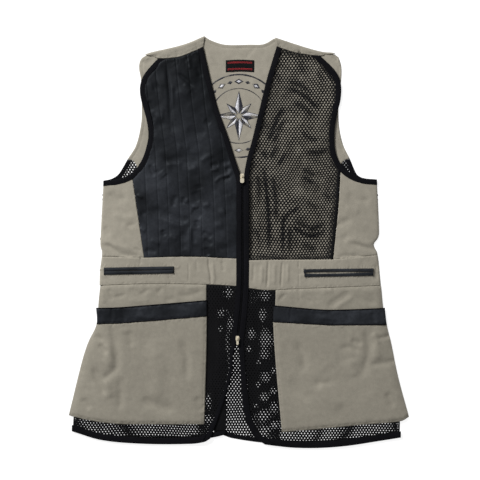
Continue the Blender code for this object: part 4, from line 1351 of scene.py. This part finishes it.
def add_pad(outline, borders):
    """The quilted leather pad, thick over its wadding and pressed thin at its edges."""
    arm, side_line, band_line, front_line, yoke_line = borders
    top = surface(
        PAD,
        dips=(
            (yoke_line, 1.5, 5), (arm, 1.4, 7), (front_line, 1.4, 7), (side_line, 0.9, 3),
            (band_line, 0.9, 3),
        ),
        creases="pad", more=pad_channels, rumpled=1.7,
        gathers=((yoke_line, 22.0, 17.0, 0.3), (arm, 12.0, 13.0, 0.2)),
    )
    ys = np.arange(390, -40, -4.0)
    lines = []
    for x in PAD_LINES_X:
        line = np.column_stack((x + np.interp(ys, *np.array(PAD_LEAN).T), ys))
        line = line[inside_of(line, outline) & (distance_to(line, closed(outline)) > 1.5)]
        if len(line) > 3:
            lines.append(line)
            sew("black", line, top, rise=0.12)
    made = cloth("gun_pad", outline, top, "leather", 1.8, spacing=2.1, rings=(0.6, 1.4), pressed=lines)


def add_front(side, inside, inside_lower, chest_side):
    """One front: yoke, chest, side panel, waistband, skirt, pocket and bindings."""
    above = (inside[0], 390)
    beyond = (inside[0] * 3, inside[1])
    yoke = edge("yoke_" + side)
    side_fold = edge("side_" + side, FOLDED, (0, 0))
    shoulder = edge("shoulder_" + side, FOLDED, INSIDE_BACK)
    top = surface(
        CLOTH, dips=(fold(shoulder), (yoke, 0.4, 2.2)), creases="yoke_" + side, rumpled=1.0,
        grooves=((shoulder, 9.0, 0.5, 1.2), (yoke, YOKE_STITCH, 0.4, 1.0)),
        gathers=((yoke, 12.0, 16.0, 0.25),),
    )
    outline = region(
        shoulder, edge("yoke_arm_" + side), edge("yoke_" + side, SEAM, above),
        edge("yoke_neck_" + side),
    )
    # The yoke takes the cotton that is painted darker as painted shade.
    made = cloth("shoulder_yoke_" + side, outline, top, look="cotton_cross_shaded", rings=(0.8, 2.0, 3.4, 4.8))
    laid(made)
    ends = (edge("yoke_neck_" + side), edge("yoke_arm_" + side))
    sew("beige", edge("yoke_" + side, YOKE_STITCH, above), top, ends)
    sew("beige", edge("shoulder_" + side, SHOULDER_STITCH, INSIDE_BACK), top, ends)

    inner_front = binding_edge("front_" + side, -CLOTH_UNDER, inside)
    inner_arm = edge("arm_" + side, ARM_BAND - CLOTH_UNDER, inside)
    chest_line = edge(chest_side)
    band_top = edge("band_top_" + side)
    if side == "right":
        outline = region(
            edge("yoke_" + side, SEAM, inside), inner_arm, edge(chest_side, SEAM, inside),
            edge("band_top_" + side, SEAM, inside), inner_front,
        )
        add_pad(outline, (inner_arm, chest_line, band_top, inner_front, yoke))
    else:
        outline = region(
            edge("yoke_" + side, -NET_PAST, inside), edge("arm_" + side, ARM_BAND - NET_UNDER, inside),
            edge(chest_side, 1.0, inside), edge("band_top_" + side, -NET_PAST, inside),
            binding_edge("front_" + side, -NET_UNDER, inside),
        )
        border = closed(outline)

        def sag(points):
            share = smooth(distance_to(points, border) / NET_SAG_REACH)
            return (floor_level(points) + CLOTH + NET_REST - ground(points) - NET_RISE) * share

        above_back = surface(
            NET_RISE, dips=((yoke, 0.8, 5), (band_top, 0.8, 5), (chest_line, 0.5, 4)),
            creases="chest_net", more=sag,
        )

        def resting(points):
            return np.maximum(above_back(points), floor_level(points) + CLOTH + 0.35 + NET_SPIKE)

        node_net("chest_mesh", outline, resting, CHEST_HOLE, creases="chest_net", drift=1.3)
        add_selvedge("chest", edge(chest_side, 0.4, inside), inner_arm, band_top, inside, ground, wide=6.0)

    outline = region(
        inner_arm, side_fold, edge("band_top_" + side, SEAM, inside), edge(chest_side, SEAM, beyond)
    )
    top = surface(
        CLOTH, dips=(fold(side_fold), seam(band_top), seam(chest_line)), creases="side_" + side,
        rumpled=1.0, gathers=((band_top, 9.0, 14.0, 0.25), (chest_line, 8.0, 15.0, 0.2)),
        grooves=((chest_line, 3.0, 0.3, 1.0),),
    )
    laid(cloth("side_panel_" + side, outline, top, rings=(0.8, 2.0, 3.2)))
    add_allowance(side, band_top, edge(chest_side, 1.0, beyond), edge("side_" + side, 2.0, (0, 0)))

    band_low = edge("band_low_" + side)
    outline = region(
        edge("band_top_" + side, SEAM, inside_lower), inner_front,
        edge("band_low_" + side, SEAM, inside), side_fold,
    )
    welt = welt_line(side)
    top = surface(
        CLOTH, dips=(fold(side_fold), seam(band_top), seam(band_low)), creases="band_" + side,
        rumpled=1.0,
        gathers=((band_top, 7.0, 11.0, 0.16), (band_low, 8.0, 12.0, 0.22), (welt, 19.0, 5.2, 0.4)),
        grooves=((band_low, 2.8, 0.3, 0.9),),
    )
    laid(cloth("waistband_" + side, outline, top, spacing=1.7, rings=(0.8, 2.0, 3.0)))

    outline = region(
        edge("band_low_" + side, -NET_PAST, inside_lower),
        binding_edge("front_" + side, -NET_UNDER, inside),
        edge("hem_" + side, HEM_BAND - NET_UNDER, inside_lower),
        edge("side_" + side, NET_INSET, INSIDE_BACK),
    )
    top = surface(NET_RISE, dips=((band_low, 1.2, 6), fold(edge("side_" + side))), creases="skirt_" + side)
    more = {"creases": "skirt_" + side, "fade": hem_opening}
    node_net("front_skirt_" + side, outline, top, SKIRT_HOLE[side], **more)

    add_pocket(side, inside, inside_lower, band_low)
    add_front_bindings(side, inside, inside_lower, side_fold)


# Section of the piping along the edges of the pockets' leather bands.
PIPING = ((0, 0.1, -1.0), (0, 0, -0.1), (0, 0.4, 0.35), (1, -0.4, 0.35), (1, 0, -0.1), (1, -0.1, -1.0))
PIPING_WIDE = 1.8


def add_pocket(side, inside, inside_lower, band_low):
    """The hip panel, the patch pocket on it and the leather band along the pocket's top."""
    low = CLOTH + GAP
    hip_side = edge("hip_side_" + side, -1.0, inside_lower)
    hip_in = edge("hip_in_" + side, 1.0, inside_lower)
    trim_top = edge("trim_top_" + side)

    def under_pocket(points):
        below_trim = np.interp(points[:, 0], *trim_top[np.argsort(trim_top[:, 0])].T) - points[:, 1]
        return -2.2 * smooth((below_trim - 8.0) / 10.0)

    outline = region(
        edge("band_low_" + side, SEAM, inside_lower), hip_in,
        edge("pocket_low_" + side, 4.0, inside_lower), hip_side,
    )
    top = surface(
        low + CLOTH, dips=((band_low, 1.9, 7.0), (hip_side, 2.6, 12.0), (hip_in, 0.6, 6.0)),
        creases="hip_" + side, rumpled=1.0, gathers=((band_low, 10.0, 13.0, 0.3),), more=under_pocket,
    )
    # The hip panel takes the cotton that is painted darker as painted shade.
    laid(cloth("hip_panel_" + side, outline, top, look="cotton_cross_shaded"))

    low += CLOTH + GAP
    trim_low = edge("trim_low_" + side)
    pocket_in = edge("pocket_in_" + side)
    pocket_side = edge("pocket_side_" + side)
    pocket_low = edge("pocket_low_" + side)
    outline = region(edge("trim_low_" + side, SEAM, inside_lower), pocket_in, pocket_low, pocket_side)
    top = surface(
        low + CLOTH,
        dips=(
            (pocket_side, 3.4, 16.0), (pocket_low, 2.2, 9.0), (pocket_in, 1.4, 7.0),
            (trim_low, 0.5, 3.0),
        ),
        creases="pocket_" + side, rumpled=1.0,
        gathers=(
            (trim_low, 12.0, 19.0, 0.25), (pocket_in, 8.0, 12.0, 0.25), (pocket_low, 10.0, 14.0, 0.3),
        ),
        grooves=((pocket_in, POCKET_STITCH, 0.4, 1.0), (pocket_low, POCKET_STITCH, 0.4, 1.0)),
    )
    # The pocket takes the cotton that is painted darker as painted shade.
    made = cloth(
        "pocket_" + side, outline, top, look="cotton_cross_shaded", spacing=3.6, rings=(0.8, 2.0, 3.2, 4.2, 5.2)
    )
    laid(made)
    sew("beige", edge("pocket_in_" + side, POCKET_STITCH, inside_lower), top, (trim_low, pocket_low))
    sew("beige", edge("pocket_low_" + side, POCKET_STITCH, inside_lower), top, (pocket_in, pocket_side))

    outline = region(trim_top, pocket_in, edge("trim_low_" + side, SEAM, inside), pocket_side)
    top = surface(
        low + LEATHER + 0.3, dips=((pocket_side, 3.0, 14.0), (pocket_in, 1.2, 6.0)),
        creases="trim_" + side, rumpled=2.4,
        gathers=((trim_top, 14.0, 23.0, 0.3), (trim_low, 14.0, 19.0, 0.3)),
        grooves=((trim_top, TRIM_STITCH, 0.7, 0.8), (trim_low, TRIM_STITCH, 0.7, 0.8)),
    )
    made = cloth(
        "pocket_trim_" + side, outline, top, "leather", 1.5, spacing=2.6, rings=(0.5, 1.4, 2.2, 3.0),
        rim_drop=0.7,
    )
    laid(made)
    for which, towards in (("top", inside_lower), ("low", inside)):
        name = which + "_" + side
        sew("black", edge("trim_" + name, TRIM_STITCH, towards), top, (pocket_in, pocket_side), rise=0.15)
        lines = trimmed("trim_" + name, PIPING_WIDE, towards, pocket_in, pocket_side)
        band("trim_piping_" + name, lines, PIPING, top, "binding")


def add_front_bindings(side, inside, inside_lower, side_fold):
    """The bindings of the armhole, of the front edge and of the hem, with their stitching."""
    yoke = edge("yoke_" + side, SEAM, inside)
    hem = edge("hem_" + side)
    rows = (
        ("armhole_binding_", trimmed("arm_" + side, ARM_BAND, inside, yoke, side_fold)),
        ("front_binding_", front_trimmed("front_" + side, inside, yoke, hem)),
        (
            "front_hem_binding_",
            trimmed(
                "hem_" + side, HEM_BAND, inside_lower, binding_edge("front_" + side, 0, inside),
                side_fold,
            ),
        ),
    )
    for name, lines in rows:
        made = node_band(name + side, lines, BAND, ground)
        taped(lines(0, 0), lines(1, 0))
        sew("black", lines(1, -2.2), surface(1.85), rise=0.16, wide=0.6)


def welt_line(side):
    rows = [row for row in LIPS if row[0].startswith(side)]
    a, b = (np.array(row[1:5]).reshape(2, 2) for row in rows)
    return (a + b) / 2


# Section of a welt lip: rolled, with a pressed line near its outer edge.
LIP = (
    (0, 0.2, 1.3), (0, 0, 2.0), (0, 0.5, 2.75), (0, 1.0, 2.7), (0, 1.5, 2.95), (0.5, 0, 3.25),
    (1, -1.0, 3.1), (1, -0.3, 2.7), (1, 0, 2.1), (1, -0.2, 1.3),
)
# How far the lips stand apart in the middle of each pocket.
LIP_GAPE = {"right": 0.3, "left": 2.0}
# Width of the bars that close the pockets' ends.
BAR_WIDE = 3.2


def add_lips():
    """Two rolled leather lips of each waistband pocket, and the bars that close their ends."""
    for side in ("right", "left"):
        middle = welt_line(side)
        inside = middle.mean(axis=0)
        bars = []
        for name, x0, y0, x1, y1, wide in LIPS:
            if not name.startswith(side):
                continue
            centre = curve(((x0, y0), (x1, y1)))
            share = np.linspace(0, 1, len(centre))
            bow = LIP_GAPE[side] * np.sin(np.pi * share ** (0.7 if side == "left" else 1.0)) ** 0.8
            outer = shifted(centre, -wide / 2 - 0.15 * np.sin(np.pi * share), inside)
            reach = wide + 0.6 - bow / 2

            def lines(part, more, outer=outer, reach=reach):
                return shifted(outer, part * reach + more, inside)

            node_band("pocket_lip_" + name, lines, LIP, ground, "leather")
            bars.append((outer[0], outer[-1]))
        for end in (0, 1):
            a = bars[0][end]
            b = bars[1][end]
            inward = np.array((-1.0 if end else 1.0, 0.0))

            def lines(part, more, a=a, b=b, inward=inward):
                shift = inward * (part * BAR_WIDE + more)
                return np.linspace(a + shift, b + shift, 6)

            profile = tuple((part, more * 0.7, high + 0.25) for part, more, high in LIP)
            which = "start" if end == 0 else "end"
            band("welt_bar_" + side + "_" + which, lines, profile, ground, "leather")


def add_zip():
    """The zip's tape and the ridges of its coil."""
    centre = curve(EDGES["zip"])
    centre = centre[(centre[:, 1] < CHAIN_TOP_Y + 1) & (centre[:, 1] > CHAIN_LOW_Y - 1)]
    left = np.array((200, 0))

    def lines(share, more):
        return shifted(centre, (share - 0.5) * ZIP_WIDE + more, left)

    profile = ((0, 0, 0.1), (0, 0, 0.7), (0.5, 0, 0.9), (1, 0, 0.7), (1, 0, 0.1))
    node_band("zip_chain", lines, profile, ground, "zip_plastic")
    height = surface(0.75)
    rows = []
    for shift in (-COIL_X, COIL_X):
        line = shifted(centre, shift, left)
        rows.append(satin(line, 0.95, height, pitch=1.3, lean=0.25, wide=0.95, rise=1.0))
    dashes("zip_coil", rows, LOOKS["zip_plastic"], "zip_plastic")


def arc(middle, radius, first, last, count=60):
    turn = np.radians(np.linspace(first, last, count))
    return np.array(middle) + radius * np.column_stack((np.sin(turn), np.cos(turn)))


def in_opening(row):
    """The threads of a row that show in the neck opening or lie under its bindings."""
    right, left = (curve(FRONTS["front_" + side])[:, :2] for side in ("right", "left"))
    right = right[right[:, 1] > FRONTS_MEET_Y] - (BINDING_COVER, 0)
    left = left[left[:, 1] > FRONTS_MEET_Y] + (BINDING_COVER, 0)
    begin, end, z, wide, rise = row
    keep = inside_of((begin + end) / 2, np.vstack((right, left[::-1])))
    return begin[keep], end[keep], z[keep], wide, rise


# Where the fronts meet below the neck opening, and how far the sewing goes on under the bindings.
FRONTS_MEET_Y = 131.0
BINDING_COVER = 7.0


BADGE = np.array((0.0, 244.0))


def spoke(degrees):
    """The ways outward and across at an angle of the badge."""
    turn = math.radians(degrees)
    return np.array((math.sin(turn), math.cos(turn))), np.array((math.cos(turn), -math.sin(turn)))


def lozenge(core, reach, half, height):
    """One row for dashes: satin along a line through its middle, with its half widths along it."""
    line = np.linspace(core - reach, core + reach, len(half))
    count = max(2, int(length_of(line) / SATIN_PITCH))
    return satin(line, np.interp(np.linspace(0, 1, count), np.linspace(0, 1, len(half)), half), height)


def add_embroidery():
    """A geometric medallion on the inside of the back: rings, lozenges and an eight-pointed star."""
    levels = (0, 0.2, 0.25)
    height, outline_height, white_height = (
        surface(CLOTH + level, creases="back", below=floor_level) for level in levels
    )
    dark = SEWN["thread_navy"]
    white = SEWN["thread_white"]
    dark.append(satin(arc(BADGE, 80, -180, 180, 160), 1.5, height))
    dark.append(satin(arc(BADGE, 53, -180, 180, 120), 0.9, height))
    for k in range(24):
        out, across = spoke(15 * k)
        long, wide = (5.0, 3.0) if k % 2 else (8.5, 5.2)
        core = BADGE + out * 66.5
        half = wide * (1 - np.abs(np.linspace(-1, 1, 21)))
        dark.append(lozenge(core, across * long, half + 0.3, height))
        if k % 2 == 0:
            white.append(lozenge(core, across * long * 0.55, half * 0.5, white_height))
    for k in range(8):
        out, across = spoke(45 * k)
        tip, wide = (33.0, 5.5) if k % 2 else (47.0, 7.5)
        count = max(2, int((tip - 5) / SATIN_PITCH))
        reach = np.linspace(5, tip, count)
        spread = wide * np.where(reach < 16, (reach - 5) / 11, (tip - reach) / (tip - 16))
        axis = BADGE + reach[:, None] * out
        for hand, rows in ((1, dark), (-1, white)):
            line = axis + hand * across * spread[:, None] / 2
            rows.append(satin(line, spread / 2 + 0.05, height, pitch=(tip - 5) / (count - 0.5)))
        for hand in (-1, 1):
            dark.append(satin(axis + hand * across * spread[:, None], 0.45, outline_height))
    for rows in (dark, white):
        rows[:] = [in_opening(row) for row in rows]


# Woven lines along the label, by height from its middle and half width.
LABEL_LINES = ((-7.6, 0.5), (-5.6, 0.9), (5.6, 0.9), (7.6, 0.5))


def add_label():
    """A plain woven label with a geometric border."""
    x0, y0, x1, y1 = LABEL
    outline = []
    for k in range(21):
        share = k / 20
        outline.append((x0 + (x1 - x0) * share, y0 + 1.2 * math.sin(math.pi * share)))
    for k in range(21):
        share = 1 - k / 20
        outline.append((x0 + (x1 - x0) * share, y1 + 1.2 * math.sin(math.pi * share)))
    outline = np.array(outline)
    top = surface(CLOTH + GAP + 0.5, below=floor_level)
    made = cloth("neck_label", outline, top, "label", 0.7, spacing=2.2, rings=(0.5, 1.2))
    laid(made)
    red = SEWN["thread_red"]
    middle_y = (y0 + y1) / 2
    xs = np.linspace(x0 + 4, x1 - 4, 30)
    arch = 1.2 * np.sin(np.pi * (xs - x0) / (x1 - x0))
    for rise, half in LABEL_LINES:
        red.append(satin(np.column_stack((xs, middle_y + rise + arch)), half, top, rise=0.12))


# Radius of the rounded edges of the metal parts.
METAL_ROUNDED = 0.3


def finish_metal():
    """Rounds the edges of the sliders and pull tabs and gives them their metal."""
    for name in ("zip_slider_top", "zip_slider_bottom", "zip_pull_top", "zip_pull_bottom"):
        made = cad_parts[name]
        made.data.materials.clear()
        made.data.materials.append(LOOKS["zip_metal"])
        bevel = made.modifiers.new("rounded", "BEVEL")
        bevel.width = METAL_ROUNDED * MM
        bevel.segments = 3
        bevel.limit_method = "ANGLE"
        bevel.angle_limit = math.radians(40)


def sew_all():
    slots = {
        "thread_beige": "cotton", "thread_black": "binding", "thread_navy": "cotton",
        "thread_white": "cotton", "thread_red": "label",
    }
    for thread, rows in SEWN.items():
        dashes("stitches_" + thread[7:], rows, LOOKS[thread], slots[thread])


def lamp(name, power, size, where, towards):
    light = bpy.data.lights.new(name, "AREA")
    light.shape = "RECTANGLE"
    light.size, light.size_y = size
    light.energy = power
    made = bpy.data.objects.new(name, light)
    made.location = where
    made.rotation_euler = (Vector(towards) - Vector(where)).to_track_quat("-Z", "Y").to_euler()
    bpy.context.scene.collection.objects.link(made)


# The studio, in metres: the floor's half width and height, the camera's place and the world's light.
FLOOR_HALF = 5
FLOOR_Z = -0.0004
CAMERA_AT = (0.0021, 0.0041, 2.193)
WORLD_LIGHT = 0.22


def add_studio():
    """A pale floor, soft light that comes mostly from beyond the neck, and the camera overhead."""
    look, tree, shader, where = look_of("pale_floor", 0.9, 0.1)
    coloured(tree, shader, (0.45, 0.45, 0.45), noise(tree, where, 2, 2, 0.99, 1.01))
    shader.inputs["Emission Color"].default_value = (1, 1, 1, 1)
    shader.inputs["Emission Strength"].default_value = 0.8
    mesh = bpy.data.meshes.new("floor")
    corners = [(x * FLOOR_HALF, y * FLOOR_HALF, FLOOR_Z) for x, y in ((-1, -1), (1, -1), (1, 1), (-1, 1))]
    mesh.from_pydata(corners, [], [(0, 1, 2, 3)])
    mesh.materials.append(look)
    floor = bpy.data.objects.new("floor", mesh)
    bpy.context.scene.collection.objects.link(floor)
    world = bpy.data.worlds.new("studio")
    bpy.context.scene.world = world
    world.use_nodes = True
    backdrop = world.node_tree.nodes["Background"]
    backdrop.inputs["Color"].default_value = (1, 1, 1, 1)
    backdrop.inputs["Strength"].default_value = WORLD_LIGHT
    lamp("key", 172.0, (1.2, 0.9), (-2.1, 2.4, 1.9), (0, 0.1, 0))
    lamp("fill", 4.0, (1.2, 1.2), (0.9, -1.0, 1.4), (0, 0, 0))
    bpy.context.scene.view_settings.view_transform = "Standard"
    bpy.context.scene.view_settings.look = "None"

    camera = bpy.data.cameras.new("camera")
    camera.lens = 85
    camera.sensor_width = 36
    made = bpy.data.objects.new("camera", camera)
    made.location = CAMERA_AT
    bpy.context.scene.collection.objects.link(made)
    bpy.context.scene.camera = made


add_studio()
add_back()
add_front("right", INSIDE_RIGHT, INSIDE_LOWER_RIGHT, "pad_side")
add_front("left", INSIDE_LEFT, INSIDE_LOWER_LEFT, "mesh_side")
add_lips()
add_zip()
add_embroidery()
add_label()
finish_metal()
sew_all()
